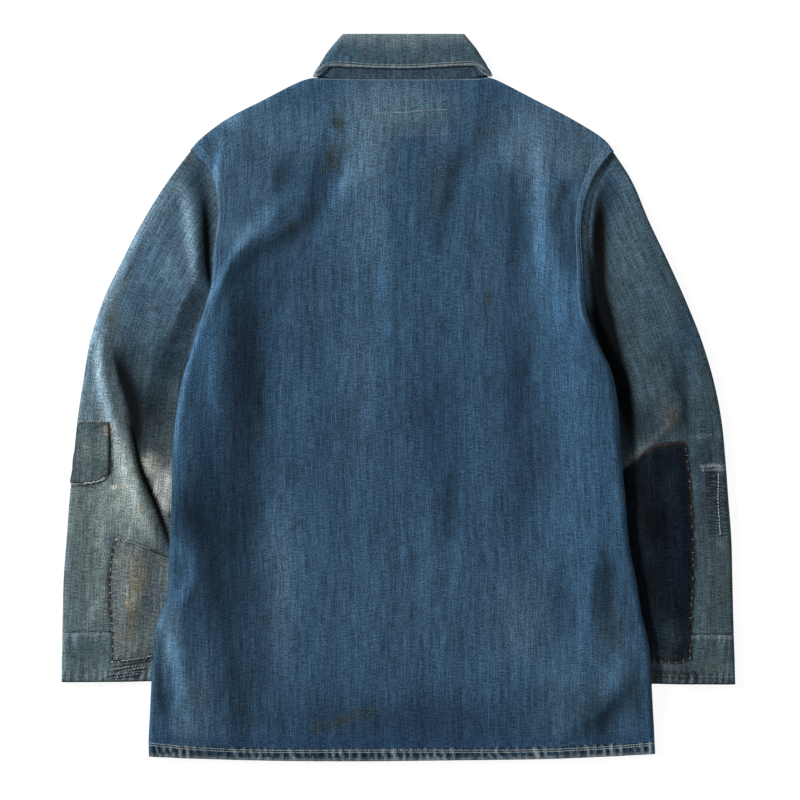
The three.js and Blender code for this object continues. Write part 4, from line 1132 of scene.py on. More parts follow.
def makeSleeve(side):
    sleeve = Sleeve(side)
    stops = np.linspace(0, sleeve.cuffStart, sleeveMake["rings"] + 1)
    cuffStops = np.linspace(sleeve.cuffStart + edgeGap / sleeveLength, 1, sleeveMake["cuffRings"] + 1)
    made = []
    for part, shares in (("sleeve", stops), ("cuff", cuffStops)):
        rings = [sleeve.ring(t) for t in shares]
        middle = np.array([ring[0] for ring in rings])
        onTop = np.array([ring[1] for ring in rings])
        x = middle[..., 0]
        y = middle[..., 1]
        tint = sleeveTint(side, x, y)
        rise = np.zeros(x.shape)
        if part == "cuff":
            down = (shares - shares[0]) * sleeve.outside.length
            down = np.broadcast_to(down[:, None], x.shape)
            ropes = roping(x, down, *puckers["cuff"][side])
            low = smooth(down, cuffHeight - 16, cuffHeight - 10)
            high = 1 - smooth(down, 7, 11)
            rise = cuffRise * onTop + ropes * (0.8 * low + 0.5 * high) * onTop + 0.2 * ropes
            # The cuff's puckers are painted lighter on their tops and darker between, partly wear and partly
            # painted highlight and shade
            tint = tint * (1 + ropes * (0.6 * low + 0.4 * high + 0.12))[..., None]
            tint = cover(tint, cuffColour["edge"], 0.85 * smooth(down, cuffHeight - 3.5, cuffHeight - 0.5))
            tint = cover(tint, cuffColour["seam"], 0.3 * np.exp(-((down - 2.5) / 1.4) ** 2))
        edge = Line(sleeve.outside.points[::6])
        distance, along, onLeft = nearest(edge, x, y)
        away = distance * np.where(onLeft == (side == "left"), 1, -1)
        weave = np.stack([away, along * edge.length], -1)
        made.append(makeCloth(f"{part}_{side}_cloth", middle, rise, part, tint, weave))
    return made


# Collar: a leaf that rolls over a stand, both wrapping from the back round to the front
foldLine = {
    "left": smoothLine([(-62.7, 399), (-80.3, 377.3), (-91.3, 359.7), (-95.7, 353.2)]),
    "right": smoothLine([(72.6, 399), (88, 379.5), (99, 361.9), (103.4, 353.5)]),
}
rollFront = {"bend": (-50, 338), "end": (-4.5, 300)}
collarMake = {"back": 150, "roll": 12, "front": 34, "leafRows": 26, "standRows": 14}
leafHeight = 46
leafLevel = [(0, 9.9), (0.05, 11.9), (0.3, 12.2), (0.7, 11.4), (1, 10.6)]
leafFront = {"bend": (-100, 302), "end": (-74.5, 262)}
standHeight = 45
standFront = {"bend": (-84.5, 304.5), "end": (-4.5, 292), "inset": 4.95, "level": 3.0}
standNeck = {"left": -88.1, "right": 95.8, "gap": 0.06}


def collarRow(fold, inset, level, frontLevel, backY, frontBend, frontEnd):
    radius = (level - frontLevel) / 2
    middle = frontLevel + radius
    centres = {"left": fold["left"][0] + inset + radius, "right": fold["right"][0] - inset - radius}

    def frontPart(side):
        start = centres["left"] if side == "left" else mirrorX(centres["right"])
        shares = 1 - np.arange(collarMake["front"]) / collarMake["front"]
        points = bend([(start, fold[side][1]), frontBend, frontEnd], shares)
        x = points[:, 0] if side == "left" else mirrorX(points[:, 0])
        return np.stack([x, points[:, 1], 0 * x + frontLevel], -1)

    def rollPart(side):
        angle = np.pi * np.arange(collarMake["roll"]) / collarMake["roll"]
        away = -1 if side == "left" else 1
        x = centres[side] + away * radius * np.sin(angle)
        return np.stack([x, 0 * x + fold[side][1], middle - radius * np.cos(angle)], -1)

    share = np.linspace(0, 1, collarMake["back"] + 1)
    backPart = np.stack([mix(centres["left"], centres["right"], share), backY(share), 0 * share + level], -1)
    return np.concatenate([
        frontPart("left"), rollPart("left"), backPart, rollPart("right")[::-1], frontPart("right")[::-1],
    ])


leafDrop = [(0.08, 11.2), (0.34, 8.9), (0.54, 8.3), (0.83, 11.0), (0.92, 11.2)]


def collarLift(share):
    return smooth(share, 0, 0.085) * (1 - smooth(share, 0.915, 1))


def foldAt(share):
    return {side: foldLine[side].share(share) for side in ("left", "right")}


def mixPoint(a, b, share):
    return (mix(a[0], b[0], share), mix(a[1], b[1], share))


def makeLeaf():
    rows = []
    shares = np.concatenate([np.linspace(0, 0.12, 6), np.linspace(0.12, 1, collarMake["leafRows"] - 4)[1:]])
    for share in shares:
        fold = foldAt(share)
        rows.append(collarRow(
            fold, half, float(graph(leafLevel, share)), half,
            lambda across: mix(fold["left"][1], fold["right"][1], across)
            + graph(leafDrop, across) * share * collarLift(across),
            mixPoint(rollFront["bend"], leafFront["bend"], share),
            mixPoint(rollFront["end"], leafFront["end"], share),
        ))
    middle = np.array(rows)[::-1]
    down = np.broadcast_to((shares[::-1] * leafHeight)[:, None], middle.shape[:2])
    x = middle[..., 0]
    y = middle[..., 1]
    ropes = roping(x + 0.4 * y, down, *puckers["leaf"])
    low = smooth(down, 29, 34) * (1 - smooth(down, 43, 46))
    wave = 0.32 * ripple(x, y, 13, 9, 104) * smooth(down, 4, 12) * (1 - smooth(down, 40, 46))
    tint = paint(x, y, collarColour["base"], collarColour["spots"], 3.0, 105)
    # Puckers near the leaf's edge are painted lighter on their tops and darker between, partly wear and
    # partly painted highlight and shade
    tint = tint * (1 + 0.10 * ripple(x, y, 14, 8, 106) + 0.22 * ropes * low)[..., None]
    tint = cover(tint, collarColour["edge"], 0.65 * smooth(down, 43.2, 45.2))
    tint = tint * (1 - 0.35 * np.exp(-((down - 42) / 1.5) ** 2))[..., None]
    tint = cover(tint, collarColour["crown"], 0.45 * np.exp(-((down - 3) / 5) ** 2))
    tint = paintMarks(tint, x, y, collarColour["marks"], 2.0, 110)
    return makeCloth("collar_leaf_cloth", middle, 0.34 * ropes * low + wave, "collar", tint)


def neckAt(across):
    x = mix(standNeck["left"], standNeck["right"], across)
    return np.interp(x, neckLine.points[:, 0], neckLine.points[:, 1]) + standNeck["gap"]


def makeStand():
    rows = []
    shares = np.linspace(0, 1, collarMake["standRows"] + 1)
    for share in shares:
        fold = foldAt(1 - share)
        rows.append(collarRow(
            fold, standFront["inset"], backLevel, standFront["level"],
            lambda across: mix(mix(fold["left"][1], fold["right"][1], across), neckAt(across),
                               (1 - share) * collarLift(across)) - share,
            mixPoint(standFront["bend"], rollFront["bend"], share),
            mixPoint(standFront["end"], rollFront["end"], share),
        ))
    middle = np.array(rows)
    x = middle[..., 0]
    up = np.broadcast_to((shares * standHeight)[:, None], x.shape)
    ropes = 0.35 * roping(x, up, *puckers["stand"]) * (1 - smooth(up, 8, 14))
    tint = paint(x, middle[..., 1], standColour["base"], standColour["spots"])
    # The stand's puckers are painted lighter on their tops and darker between, partly wear and partly
    # painted highlight and shade
    tint = tint * (1 + ropes)[..., None]
    return makeCloth("collar_stand_cloth", middle, ropes, "collar", tint)


back = makeBack()
print("back made")
fronts = {side: makeFront(side) for side in ("left", "right")}
arms = {side: makeSleeve(side) for side in ("left", "right")}
leaf = makeLeaf()
stand = makeStand()
print("fronts, sleeves and collar made")


# Patches lie on the sleeve and cuff and follow every rise of them
armSurface = {side: joinedSurface(arms[side]) for side in ("left", "right")}


def touchDown(surface, x, y):
    place, normal, index, distance = surface.ray_cast(Vector((x / 1000, y / 1000, 0.2)), Vector((0, 0, -1)))
    if place is None:
        return None, None
    return np.array(place) * 1000, np.array(normal)


patchMake = {"lift": 0.75, "thick": 1.0, "spacing": 2.2, "tries": 60}
patches = {
    "left_elbow": {
        "side": "left", "finish": "patch", "slot": "patch_denim", "size": (0.037, 0.062),
        "top": [(-352, -28), (-335, -27.4), (-318.6, -27.5)],
        "bottom": [(-361, -95), (-334, -93.5), (-318.4, -86.5)],
        "left": [(-352, -28), (-356.5, -60), (-361, -95)],
        "right": [(-318.6, -27.5), (-317.4, -50), (-318.4, -86.5)],
        "base": (76, 90, 92), "edge": (26, 30, 34),
        "spots": [(-340, -34, 20, 6, (58, 74, 82), 0.7), (-336, -56, 16, 12, (92, 104, 103), 0.7),
                  (-345, -84, 12, 10, (66, 80, 83), 0.7), (-320, -37, 3, 4, (170, 146, 128), 0.7)],
    },
    "left_forearm": {
        "side": "left", "finish": "patch", "slot": "patch_denim", "size": (0.066, 0.132),
        "top": [(-310.5, -156.5), (-292.6, -160), (-275.5, -167), (-247, -179)],
        "bottom": [(-314.6, -291), (-295, -289), (-262, -284)],
        "left": [(-310.5, -156.5), (-316, -178), (-317, -220), (-315, -252), (-314.6, -291)],
        "right": [(-247, -179), (-250, -230), (-262, -284)],
        "base": (98, 107, 108), "edge": (26, 30, 34),
        "spots": [(-289, -200, 7, 24, (122, 116, 94), 0.6), (-296, -232, 6, 20, (120, 112, 90), 0.55),
                  (-298, -262, 7, 8, (114, 108, 90), 0.5),
                  (-300, -180, 12, 14, (116, 122, 118), 0.7), (-266, -222, 10, 34, (102, 120, 128), 0.7),
                  (-306, -225, 6, 26, (96, 108, 110), 0.6), (-280, -262, 12, 12, (100, 114, 116), 0.6),
                  (-268, -268, 8, 14, (62, 74, 78), 0.6), (-285, -284, 22, 6, (78, 88, 90), 0.6)],
    },
    "right_forearm": {
        "side": "right", "finish": "darkPatch", "slot": "dark_patch_denim", "size": (0.080, 0.236),
        "top": [(240, -84), (258, -72.5), (276, -56), (296, -50), (314, -50)],
        "bottom": [(262, -289), (284, -291.5), (308, -292), (320, -287)],
        "left": [(240, -84), (243, -140), (250, -210), (258, -262), (262, -289)],
        "right": [(314, -50), (317, -70), (320, -98), (321.6, -130), (323.4, -190), (321, -240),
                  (320, -287)],
        "base": (14, 22, 29), "edge": (52, 44, 40),
        "spots": [(264, -100, 16, 24, (9, 15, 20), 0.8), (298, -100, 10, 22, (22, 32, 37), 0.8),
                  (282, -138, 12, 26, (5, 8, 11), 0.85), (308, -140, 8, 40, (12, 22, 32), 0.8),
                  (284, -205, 16, 34, (10, 16, 22), 0.8), (304, -190, 8, 50, (16, 27, 40), 0.7),
                  (300, -262, 16, 18, (30, 42, 50), 0.8), (276, -262, 14, 20, (20, 28, 33), 0.7),
                  (284, -284, 24, 6, (34, 42, 46), 0.7), (292, -56, 22, 6, (26, 33, 38), 0.6)],
    },
}


def patchGrid(patch):
    edges = {key: smoothLine(patch[key]) for key in ("top", "bottom", "left", "right")}
    plan = between(edges["bottom"].share, edges["top"].share,
                   lambda v: edges["left"].share(1 - np.asarray(v, float)),
                   lambda v: edges["right"].share(1 - np.asarray(v, float)))
    columns = max(8, int(edges["top"].length / patchMake["spacing"]))
    rows = max(8, int(edges["left"].length / patchMake["spacing"]))
    u, v = np.meshgrid(np.linspace(0, 1, columns + 1), np.linspace(0, 1, rows + 1))
    return plan(u, v), u, v, edges


def makePatch(key, patch):
    grid, u, v, edges = patchGrid(patch)
    rows, columns = u.shape
    width = edges["top"].length
    height = edges["left"].length
    toEdge = np.minimum(np.minimum(u, 1 - u) * width, np.minimum(v, 1 - v) * height)
    ragged = 1 - smooth(toEdge, 0, 3)
    wander = [ripple(grid[..., 0], grid[..., 1], 5, 5, seed) for seed in (130, 131)]
    grid = grid + 0.5 * ragged[..., None] * np.stack(wander, -1)
    base = np.zeros((rows, columns, 3))
    normal = np.zeros((rows, columns, 3))
    surface = armSurface[patch["side"]]
    inward = 1 if patch["side"] == "left" else -1
    for j in range(rows):
        for i in range(columns):
            for step in range(patchMake["tries"]):
                shift = inward * 0.5 * (step // 3)
                slip = 0.8 * ((step + 1) % 3 - 1)
                spot, direction = touchDown(surface, grid[j, i][0] + shift, grid[j, i][1] + slip)
                if spot is not None:
                    break
            base[j, i] = spot
            normal[j, i] = direction
    for k in range(2):
        normal[1:-1, 1:-1] += normal[:-2, 1:-1] + normal[2:, 1:-1] + normal[1:-1, :-2] + normal[1:-1, 2:]
        normal /= np.linalg.norm(normal, axis=-1, keepdims=True)
    smoothed = base[..., 2].copy()
    for k in range(2):
        inside = (smoothed[:-2, 1:-1] + smoothed[2:, 1:-1] + smoothed[1:-1, :-2] + smoothed[1:-1, 2:]) / 4
        smoothed[1:-1, 1:-1] = np.maximum(smoothed[1:-1, 1:-1], 0.5 * (inside + smoothed[1:-1, 1:-1]))
    base[..., 2] = smoothed
    x = grid[..., 0]
    y = grid[..., 1]
    wave = 0.25 * ripple(x, y, 12, 16, 132) * smooth(toEdge, 2, 8)
    inner = base + normal * patchMake["lift"]
    rise = patchMake["thick"] * (1 - 0.45 * ragged) + np.maximum(wave, -0.2) + 0.1
    outer = base + normal * (patchMake["lift"] + rise)[..., None]
    tint = paint(x, y, patch["base"], patch["spots"], 4.0, 133)
    tint = tint * (1 + 0.16 * ripple(x, y, 8, 22, 134) + 0.12 * ripple(x, y, 3.5, 3.5, 135))[..., None]
    tint = cover(tint, patch["edge"], 0.8 * (1 - smooth(toEdge, 0.4, 3.2)))
    return makeShell(f"patch_{key}_cloth", outer, inner, finishes[patch["finish"]], tint)


patchCloths = {key: makePatch(key, patch) for key, patch in patches.items()}
print("patches made")


# Buttons lie face down between the closed fronts and the floor
buttonMake = {"radius": 8.5, "thickness": 2.4, "top": 262, "pitch": 137, "count": 5, "sides": 40}


def makeButton(index):
    radius = buttonMake["radius"]
    thick = buttonMake["thickness"]
    profile = [
        (0, 0.45), (3.2, 0.4), (5.2, 0.3), (5.9, 0.12), (6.4, 0), (7.6, 0), (8.2, 0.35), (radius, 1.0),
        (radius - 0.1, 1.5), (radius - 0.9, 1.75), (5.5, 1.9), (3.4, thick), (0, thick),
    ]
    sides = buttonMake["sides"]
    angles = 2 * np.pi * np.arange(sides) / sides
    centreY = buttonMake["top"] - buttonMake["pitch"] * index
    spots = []
    for r, z in profile[1:-1]:
        for angle in angles:
            spots.append((centreX + r * math.cos(angle), centreY + r * math.sin(angle), z))
    spots += [(centreX, centreY, profile[0][1]), (centreX, centreY, profile[-1][1])]
    rings = len(profile) - 2
    faces = []
    for k in range(sides):
        after = (k + 1) % sides
        faces.append((rings * sides, after, k))
        for j in range(rings - 1):
            faces.append((j * sides + k, j * sides + after, (j + 1) * sides + after, (j + 1) * sides + k))
        last = (rings - 1) * sides
        faces.append((rings * sides + 1, last + k, last + after))
    mesh = bpy.data.meshes.new(f"button_{index + 1}_metal")
    mesh.from_pydata([tuple(part / 1000 for part in spot) for spot in spots], [], faces)
    mesh.shade_smooth()
    mesh.materials.append(finishes["brass"])
    return addObject(mesh.name, mesh)


buttons = [makeButton(k) for k in range(buttonMake["count"])]
print("buttons made")


# Sewing: a tree that lays short threads along lines
def makeStitchTree():
    tree = bpy.data.node_groups.new("laidThreads", "GeometryNodeTree")
    nodes = tree.nodes
    links = tree.links

    def addInput(name, kind):
        return tree.interface.new_socket(name, in_out="INPUT", socket_type=kind)

    def node(kind, settings=None, sockets=None):
        made = nodes.new(kind)
        for key, value in (settings or {}).items():
            setattr(made, key, value)
        for key, value in (sockets or {}).items():
            if isinstance(value, bpy.types.NodeSocket):
                links.new(value, made.inputs[key])
            else:
                made.inputs[key].default_value = value
        return made

    def maths(operation, first, second):
        return node("ShaderNodeMath", {"operation": operation}, {0: first, 1: second}).outputs[0]

    def combine(x, y, z):
        return node("ShaderNodeCombineXYZ", {}, {"X": x, "Y": y, "Z": z}).outputs[0]

    def random(low, high, seed):
        sockets = {2: low, 3: high, "Seed": seed}
        return node("FunctionNodeRandomValue", {"data_type": "FLOAT"}, sockets).outputs[1]

    addInput("Geometry", "NodeSocketGeometry")
    tree.interface.new_socket("Geometry", in_out="OUTPUT", socket_type="NodeSocketGeometry")
    sizes = {"Pitch": 0.003, "Length": 0.002, "Width": 0.0006, "Turn": 0.0, "Swing": 0.1}
    for name, value in sizes.items():
        addInput(name, "NodeSocketFloat").default_value = value
    addInput("Seed", "NodeSocketInt").default_value = 1
    addInput("Thread", "NodeSocketMaterial")

    given = node("NodeGroupInput").outputs
    length = given["Length"]
    curve = node("GeometryNodeMeshToCurve", {}, {"Mesh": given["Geometry"]}).outputs["Curve"]
    sockets = {"Curve": curve, "Length": given["Pitch"]}
    places = node("GeometryNodeResampleCurve", {"mode": "LENGTH"}, sockets).outputs["Curve"]

    # One thread of length 1, bowed so that its ends go into the cloth
    bow = {"Start": (-0.5, 0.0, -0.12), "Middle": (0.0, 0.0, 0.0), "End": (0.5, 0.0, -0.12)}
    sockets = {"Resolution": 3, **bow}
    thread = node("GeometryNodeCurveQuadraticBezier", {}, sockets).outputs["Curve"]
    circle = node("GeometryNodeCurvePrimitiveCircle", {}, {"Resolution": 5, "Radius": 1.0}).outputs["Curve"]
    thin = maths("MULTIPLY", maths("DIVIDE", given["Width"], length), 0.5)
    sockets = {"Geometry": circle, "Scale": combine(thin, thin, thin)}
    section = node("GeometryNodeTransform", {}, sockets).outputs["Geometry"]
    sockets = {"Curve": thread, "Profile Curve": section, "Fill Caps": True}
    body = node("GeometryNodeCurveToMesh", {}, sockets).outputs["Mesh"]

    # Each thread lies along its line, turned and swung to one side
    tangent = node("GeometryNodeInputTangent").outputs[0]
    first = node("FunctionNodeAlignRotationToVector", {"axis": "X"}, {"Vector": tangent}).outputs["Rotation"]
    settings = {"axis": "Z", "pivot_axis": "X"}
    sockets = {"Rotation": first, "Vector": (0.0, 0.0, 1.0)}
    aligned = node("FunctionNodeAlignRotationToVector", settings, sockets).outputs["Rotation"]
    swing = random(maths("MULTIPLY", given["Swing"], -1.0), given["Swing"], given["Seed"])
    spin = combine(0.0, 0.0, maths("ADD", swing, given["Turn"]))
    euler = node("FunctionNodeEulerToRotation", {}, {"Euler": spin}).outputs[0]
    sockets = {"Rotation": aligned, "Rotate By": euler}
    rotation = node("FunctionNodeRotateRotation", {"rotation_space": "LOCAL"}, sockets).outputs[0]
    longer = maths("MULTIPLY", random(0.72, 1.25, maths("ADD", given["Seed"], 17.0)), length)
    scale = combine(longer, length, length)
    sockets = {"Points": places, "Instance": body, "Rotation": rotation, "Scale": scale}
    placed = node("GeometryNodeInstanceOnPoints", {}, sockets).outputs["Instances"]
    real = node("GeometryNodeRealizeInstances", {}, {"Geometry": placed}).outputs["Geometry"]
    sockets = {"Geometry": real, "Material": given["Thread"]}
    finished = node("GeometryNodeSetMaterial", {}, sockets).outputs["Geometry"]
    links.new(finished, node("NodeGroupOutput").inputs["Geometry"])
    return tree


stitchTree = makeStitchTree()


def bakeModifier(made, tree, values):
    modifier = made.modifiers.new("threads", "NODES")
    modifier.node_group = tree
    named = {item.name: item.identifier for item in tree.interface.items_tree if item.in_out == "INPUT"}
    for key, value in values.items():
        modifier[named[key]] = value
    bpy.context.view_layer.update()
    evaluated = made.evaluated_get(bpy.context.evaluated_depsgraph_get())
    mesh = bpy.data.meshes.new_from_object(evaluated)
    made.modifiers.clear()
    old = made.data
    made.data = mesh
    bpy.data.meshes.remove(old)
    mesh.name = made.name


# Lines given in plan are dropped on the cloth and lifted by part of a thread's width
threadSurface = joinedSurface([back, leaf, stand, *arms["left"], *arms["right"], *patchCloths.values()])
dropSpacing = 2.0


def dropped(points, lift):
    line = smoothLine(points, 8) if len(points) > 2 else Line(points)
    count = max(2, int(line.length / dropSpacing) + 1)
    places = []
    for x, y in line.share(np.linspace(0, 1, count)):
        spot, normal = touchDown(threadSurface, x, y)
        if spot is not None:
            places.append(spot + np.array([0, 0, lift]))
    return places


def layThreads(name, lines, finish, values):
    spots = []
    edges = []
    for points in lines:
        start = len(spots)
        placed = dropped(points, values.get("lift", 0.15))
        spots += [tuple(spot / 1000) for spot in placed]
        edges += [(start + k, start + k + 1) for k in range(len(placed) - 1)]
    mesh = bpy.data.meshes.new(name)
    mesh.from_pydata(spots, edges, [])
    made = addObject(name, mesh)
    bakeModifier(made, stitchTree, {
        "Pitch": values["pitch"] / 1000, "Length": values["length"] / 1000, "Width": values["width"] / 1000,
        "Turn": math.radians(values.get("turn", 0)), "Swing": math.radians(values.get("swing", 6)),
        "Seed": values["seed"], "Thread": finishes[finish],
    })
    if not made.data.materials:
        made.data.materials.append(finishes[finish])
    return made


def shifted(points, dx, dy):
    return [(x + dx, y + dy) for x, y in points]


hemStitchLine = [
    (-274, -381), (-220, -386), (-164, -388.5), (0, -388.5), (133, -388.5), (209, -386), (281, -381),
]


def armholeStitches(side, inset):
    return [tuple(fromSide(bodyRow(v), side, inset)) for v in np.linspace(0.995, 0.70, 24)]


# Each row of sewing has its lines, its thread, the CAD node it is sewn to, and its sizes in millimetres
seams = {
    "hem_stitches": ([hemStitchLine, shifted(hemStitchLine, 0, -2.4)], "paleThread", "back",
                     {"pitch": 3.1, "length": 2.5, "width": 0.85, "seed": 3}),
    "armhole_stitches": (
        [armholeStitches("left", 10.4), armholeStitches("left", 2.6),
         armholeStitches("right", 10.6), armholeStitches("right", 3.0)],
        "fadedThread", "back", {"pitch": 3.0, "length": 2.2, "width": 0.7, "seed": 5}),
    "leaf_stitches": (
        [[(-92, 357), (-84, 363.6), (-74, 366.2), (-28, 363.8), (11, 363.2), (62, 365.8), (84, 366),
          (98, 358)],
         [(-90, 359.6), (-82, 366), (-72, 368.6), (-28, 366.2), (11, 365.6), (62, 368.2), (82, 368.4),
          (96, 361)]],
        "paleThread", "collar_leaf", {"pitch": 2.8, "length": 2.2, "width": 0.7, "seed": 7}),
    "neck_stitches": (
        [[(-92, 350.2), (-75, 349.6), (11, 348.9), (84, 349.6), (98, 350.4)]],
        "paleThread", "back", {"pitch": 3.4, "length": 2.3, "width": 0.6, "seed": 9}),
    "cuff_left_stitches": (
        [[(-370, -258), (-352, -258.5), (-320, -254.6), (-286, -258)],
         [(-370, -260.4), (-352, -261), (-320, -257), (-286, -260.4)],
         [(-371, -304), (-340, -306), (-290, -303), (-275, -301)]],
        "fadedThread", "cuff_left", {"pitch": 3.2, "length": 2.3, "width": 0.7, "seed": 11}),
    "cuff_right_stitches": (
        [[(325, -256), (348, -262), (369, -265)], [(325, -258.4), (348, -264.4), (369, -267.4)],
         [(282, -306), (310, -307), (368, -308)]],
        "fadedThread", "cuff_right", {"pitch": 3.2, "length": 2.3, "width": 0.7, "seed": 13}),
    "box_stitches": (
        [[(-25, 312.4), (1, 313.1), (32, 315.7), (52, 316.3)]],
        "paleThread", "back", {"pitch": 2.9, "length": 2.3, "width": 0.65, "seed": 15, "swing": 10}),
    "box_side_stitches": (
        [[(-25.3, 312), (-25.3, 288)], [(52.6, 316), (52.8, 290)], [(-25, 287.5), (1, 287.8), (52, 289.3)]],
        "fadedThread", "back", {"pitch": 3.4, "length": 2.0, "width": 0.55, "seed": 16}),
}

elbowEdge = patches["left_elbow"]
paleEdge = {**patches["left_forearm"], "bottom": [(-314.6, -291), (-295, -289), (-274, -285.5)]}
darkEdge = {
    "top": [(250, -78), (258, -72.5), (276, -56), (296, -50), (314, -50)],
    "right": patches["right_forearm"]["right"], "bottom": [(281, -291), (308, -292), (320, -287)],
}
whips = {
    "elbow_frays": (
        [elbowEdge["right"], elbowEdge["bottom"], elbowEdge["top"]], "blackThread", "patch_left_elbow",
        {"pitch": 1.1, "length": 2.6, "width": 0.7, "turn": 60, "swing": 60, "seed": 20, "lift": 0.2}),
    "elbow_whips": (
        [elbowEdge["top"]], "whiteThread", "patch_left_elbow",
        {"pitch": 2.3, "length": 3.0, "width": 0.7, "turn": 66, "swing": 26, "seed": 21, "lift": 0.5}),
    "elbow_low_whips": (
        [elbowEdge["bottom"]], "whiteThread", "patch_left_elbow",
        {"pitch": 2.9, "length": 4.2, "width": 0.9, "turn": 24, "swing": 26, "seed": 22, "lift": 0.6}),
    "forearm_left_frays": (
        [paleEdge["top"][:-1], paleEdge["left"], paleEdge["bottom"]], "blackThread", "patch_left_forearm",
        {"pitch": 0.9, "length": 3.0, "width": 0.8, "turn": 60, "swing": 65, "seed": 24, "lift": 0.2}),
    "forearm_left_whips": (
        [paleEdge["top"][:-1], paleEdge["bottom"]], "whiteThread", "patch_left_forearm",
        {"pitch": 3.4, "length": 4.0, "width": 0.8, "turn": 26, "swing": 34, "seed": 23, "lift": 0.5}),
    "forearm_left_loose": (
        [paleEdge["left"]], "whiteThread", "patch_left_forearm",
        {"pitch": 8.5, "length": 3.4, "width": 0.6, "turn": 60, "swing": 80, "seed": 27, "lift": 0.5}),
    "forearm_right_frays": (
        [darkEdge["top"], darkEdge["right"], darkEdge["bottom"]], "blackThread", "patch_right_forearm",
        {"pitch": 1.1, "length": 2.6, "width": 0.7, "turn": 60, "swing": 70, "seed": 25, "lift": 0.2}),
    "forearm_right_rust": (
        [darkEdge["top"], darkEdge["right"], darkEdge["bottom"]], "rustThread", "patch_right_forearm",
        {"pitch": 3.3, "length": 2.2, "width": 0.6, "turn": 50, "swing": 80, "seed": 28, "lift": 0.4}),
    "forearm_right_whips": (
        [darkEdge["right"], darkEdge["bottom"]], "fadedThread", "patch_right_forearm",
        {"pitch": 7.4, "length": 2.8, "width": 0.6, "turn": 50, "swing": 85, "seed": 26, "lift": 0.5}),
}


# Short stitches side by side, each from its own start to its own end
def rungs(start, end, reach, count, loose, seed):
    draw = np.random.default_rng(seed)
    lines = []
    for share in np.linspace(0, 1, count):
        x = mix(start[0], end[0], share)
        y = mix(start[1], end[1], share)
        slack = draw.uniform(-loose, loose, 4)
        lines.append([(x + slack[0], y + slack[1]), (x + reach[0] + slack[2], y + reach[1] + slack[3])])
    return lines


darns = {
    "darn_right_rungs": (
        rungs((337, -78), (342, -150), (9, 0.4), 22, 1.6, 31)
        + rungs((349, -88), (354, -152), (7, -0.4), 17, 1.4, 32), "blackThread", "sleeve_right",
        {"pitch": 2.6, "length": 3.4, "width": 1.1, "swing": 5, "seed": 31, "lift": 0.3}),
    "darn_right_spine": (
        [[(351.5, -86), (351, -113), (353.4, -150)]], "whiteThread", "sleeve_right",
        {"pitch": 3.6, "length": 2.8, "width": 0.8, "swing": 24, "seed": 32, "lift": 0.5}),
    "darn_right_band": (
        [[(332, -76), (347, -75.4), (361, -77)], [(333, -80), (347, -79.6), (361, -81)]],
        "paleThread", "sleeve_right",
        {"pitch": 1.7, "length": 4.4, "width": 0.7, "turn": 84, "swing": 14, "seed": 33}),
    "darn_right_cuff": (
        rungs((282, -302.5), (326, -303), (1.6, -6), 20, 0.7, 34), "blackThread", "cuff_right",
        {"pitch": 2.2, "length": 3.0, "width": 1.0, "swing": 8, "seed": 34, "lift": 0.3}),
    "darn_left_cuff": (
        rungs((-313, -297), (-324, -310.5), (38, 5), 5, 1.5, 35), "blackThread", "cuff_left",
        {"pitch": 2.6, "length": 4.2, "width": 1.0, "turn": 30, "swing": 14, "seed": 35, "lift": 0.3}),
    "darn_left_cuff_pale": (
        rungs((-314, -299), (-322, -309), (37, 5), 3, 1.5, 36), "paleThread", "cuff_left",
        {"pitch": 3.4, "length": 3.2, "width": 0.8, "turn": 34, "swing": 22, "seed": 36, "lift": 0.4}),
}
sewn = {}
for name, (lines, finish, node, values) in {**seams, **whips, **darns}.items():
    sewn.setdefault(node, []).append(layThreads(name, lines, finish, values))
print("sewing laid")


# Cloths: the node each stands for, its slot, the size and area of its cut, and what it rests on
cloths = {
    "back": (back, "body_denim", (0.605, 0.755), 0.40, ["front_left", "front_right"]),
    "front_left": (fronts["left"], "body_denim", (0.275, 0.755), 0.17, ["floor"]),
    "front_right": (fronts["right"], "body_denim", (0.275, 0.755), 0.17, ["floor"]),
    "sleeve_left": (arms["left"][0], "sleeve_denim", (0.36, 0.55), 0.14, ["floor"]),
    "sleeve_right": (arms["right"][0], "sleeve_denim", (0.36, 0.55), 0.14, ["floor"]),
    "cuff_left": (arms["left"][1], "cuff_denim", (0.29, 0.056), None, ["floor"]),
    "cuff_right": (arms["right"][1], "cuff_denim", (0.29, 0.056), None, ["floor"]),
    "collar_leaf": (leaf, "collar_denim", (0.44, 0.09), 0.025, ["collar_stand"]),
    "collar_stand": (stand, "collar_denim", (0.38, 0.06), 0.015, ["front_left", "front_right"]),
}
for key, patch in patches.items():
    rests = [f"sleeve_{patch['side']}_cloth"]
    cloths[f"patch_{key}"] = (patchCloths[key], patch["slot"], patch["size"], None, rests)
bpy.context.view_layer.update()


def halfSurface(item):
    return sum(face.area for face in item.data.polygons) / 2


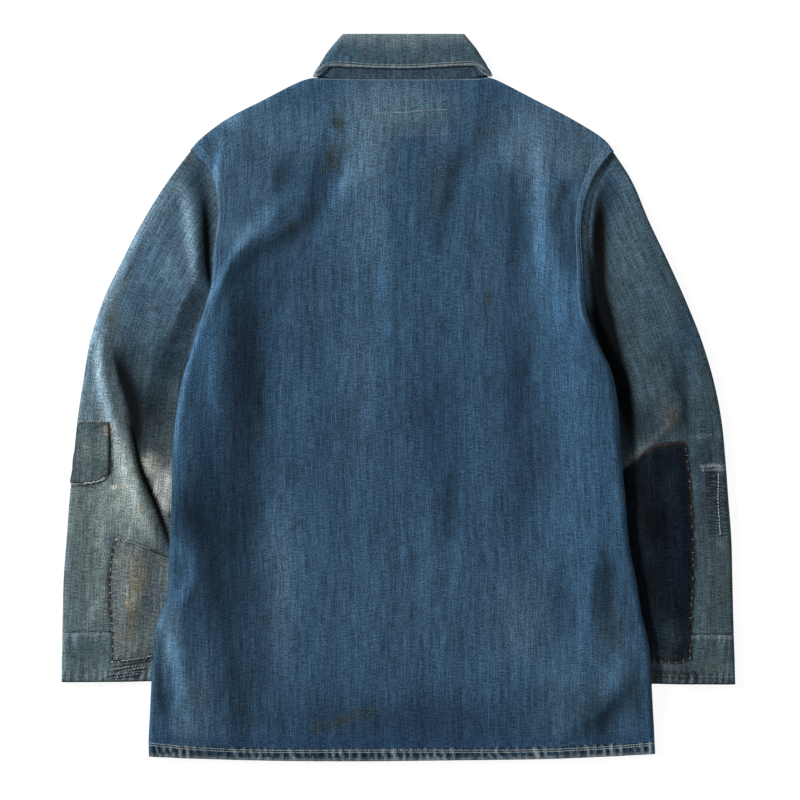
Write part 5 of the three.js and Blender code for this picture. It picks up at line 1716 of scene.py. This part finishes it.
for node, (piece, slotName, flat, area, rests) in cloths.items():
    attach(piece, "root")
    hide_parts(node)
    print("cut", piece.name, flat, area, round(halfSurface(piece), 4))
    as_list(rests)
for index, button in enumerate(buttons):
    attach(button, "root")
    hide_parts(f"button_{index + 1}")
for node, threads in sewn.items():
    for thread in threads:
        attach(thread, "root")


# Floor, light and camera
floor = {"reach": 3.0, "level": -0.0002, "tone": 0.12, "glow": 0.92}
light = {"towards": (-0.80, 0.36, 0.54), "strength": 3.9, "softness": 14, "fill": 0.40}


def makeFloor():
    reach = floor["reach"]
    corners = [(x * reach, y * reach, floor["level"]) for x, y in ((-1, -1), (1, -1), (1, 1), (-1, 1))]
    mesh = bpy.data.meshes.new("floor")
    mesh.from_pydata(corners, [], [(0, 1, 2, 3)])
    work = Finish("paleFloor")
    work.put(Base_Color=(floor["tone"],) * 3 + (1.0,), Roughness=0.9)
    work.put(Emission_Color=(1.0, 1.0, 1.0, 1.0), Emission_Strength=floor["glow"])
    mesh.materials.append(work.material)
    addObject("floor", mesh)


def makeLights():
    lamp = bpy.data.lights.new("window", "SUN")
    lamp.energy = light["strength"]
    lamp.angle = math.radians(light["softness"])
    sun = addObject("window", lamp)
    sun.rotation_euler = Vector(light["towards"]).to_track_quat("Z", "Y").to_euler()
    world = bpy.data.worlds.new("room")
    world.use_nodes = True
    room = world.node_tree.nodes["Background"].inputs
    room["Color"].default_value = (1.0, 1.0, 1.0, 1.0)
    room["Strength"].default_value = light["fill"]
    bpy.context.scene.world = world


view = {"height": 4.0, "clothLevel": 0.012, "width": 0.88, "centre": (0.0011, -0.0033), "sensor": 36.0}


def makeCamera():
    lens = bpy.data.cameras.new("camera")
    lens.sensor_width = view["sensor"]
    lens.lens = view["sensor"] * (view["height"] - view["clothLevel"]) / view["width"]
    lens.clip_end = 50.0
    camera = addObject("camera", lens)
    camera.location = (*view["centre"], view["height"])
    bpy.context.scene.camera = camera
    bpy.context.scene.view_settings.view_transform = "Standard"
    bpy.context.scene.view_settings.look = "None"


makeFloor()
makeLights()
makeCamera()
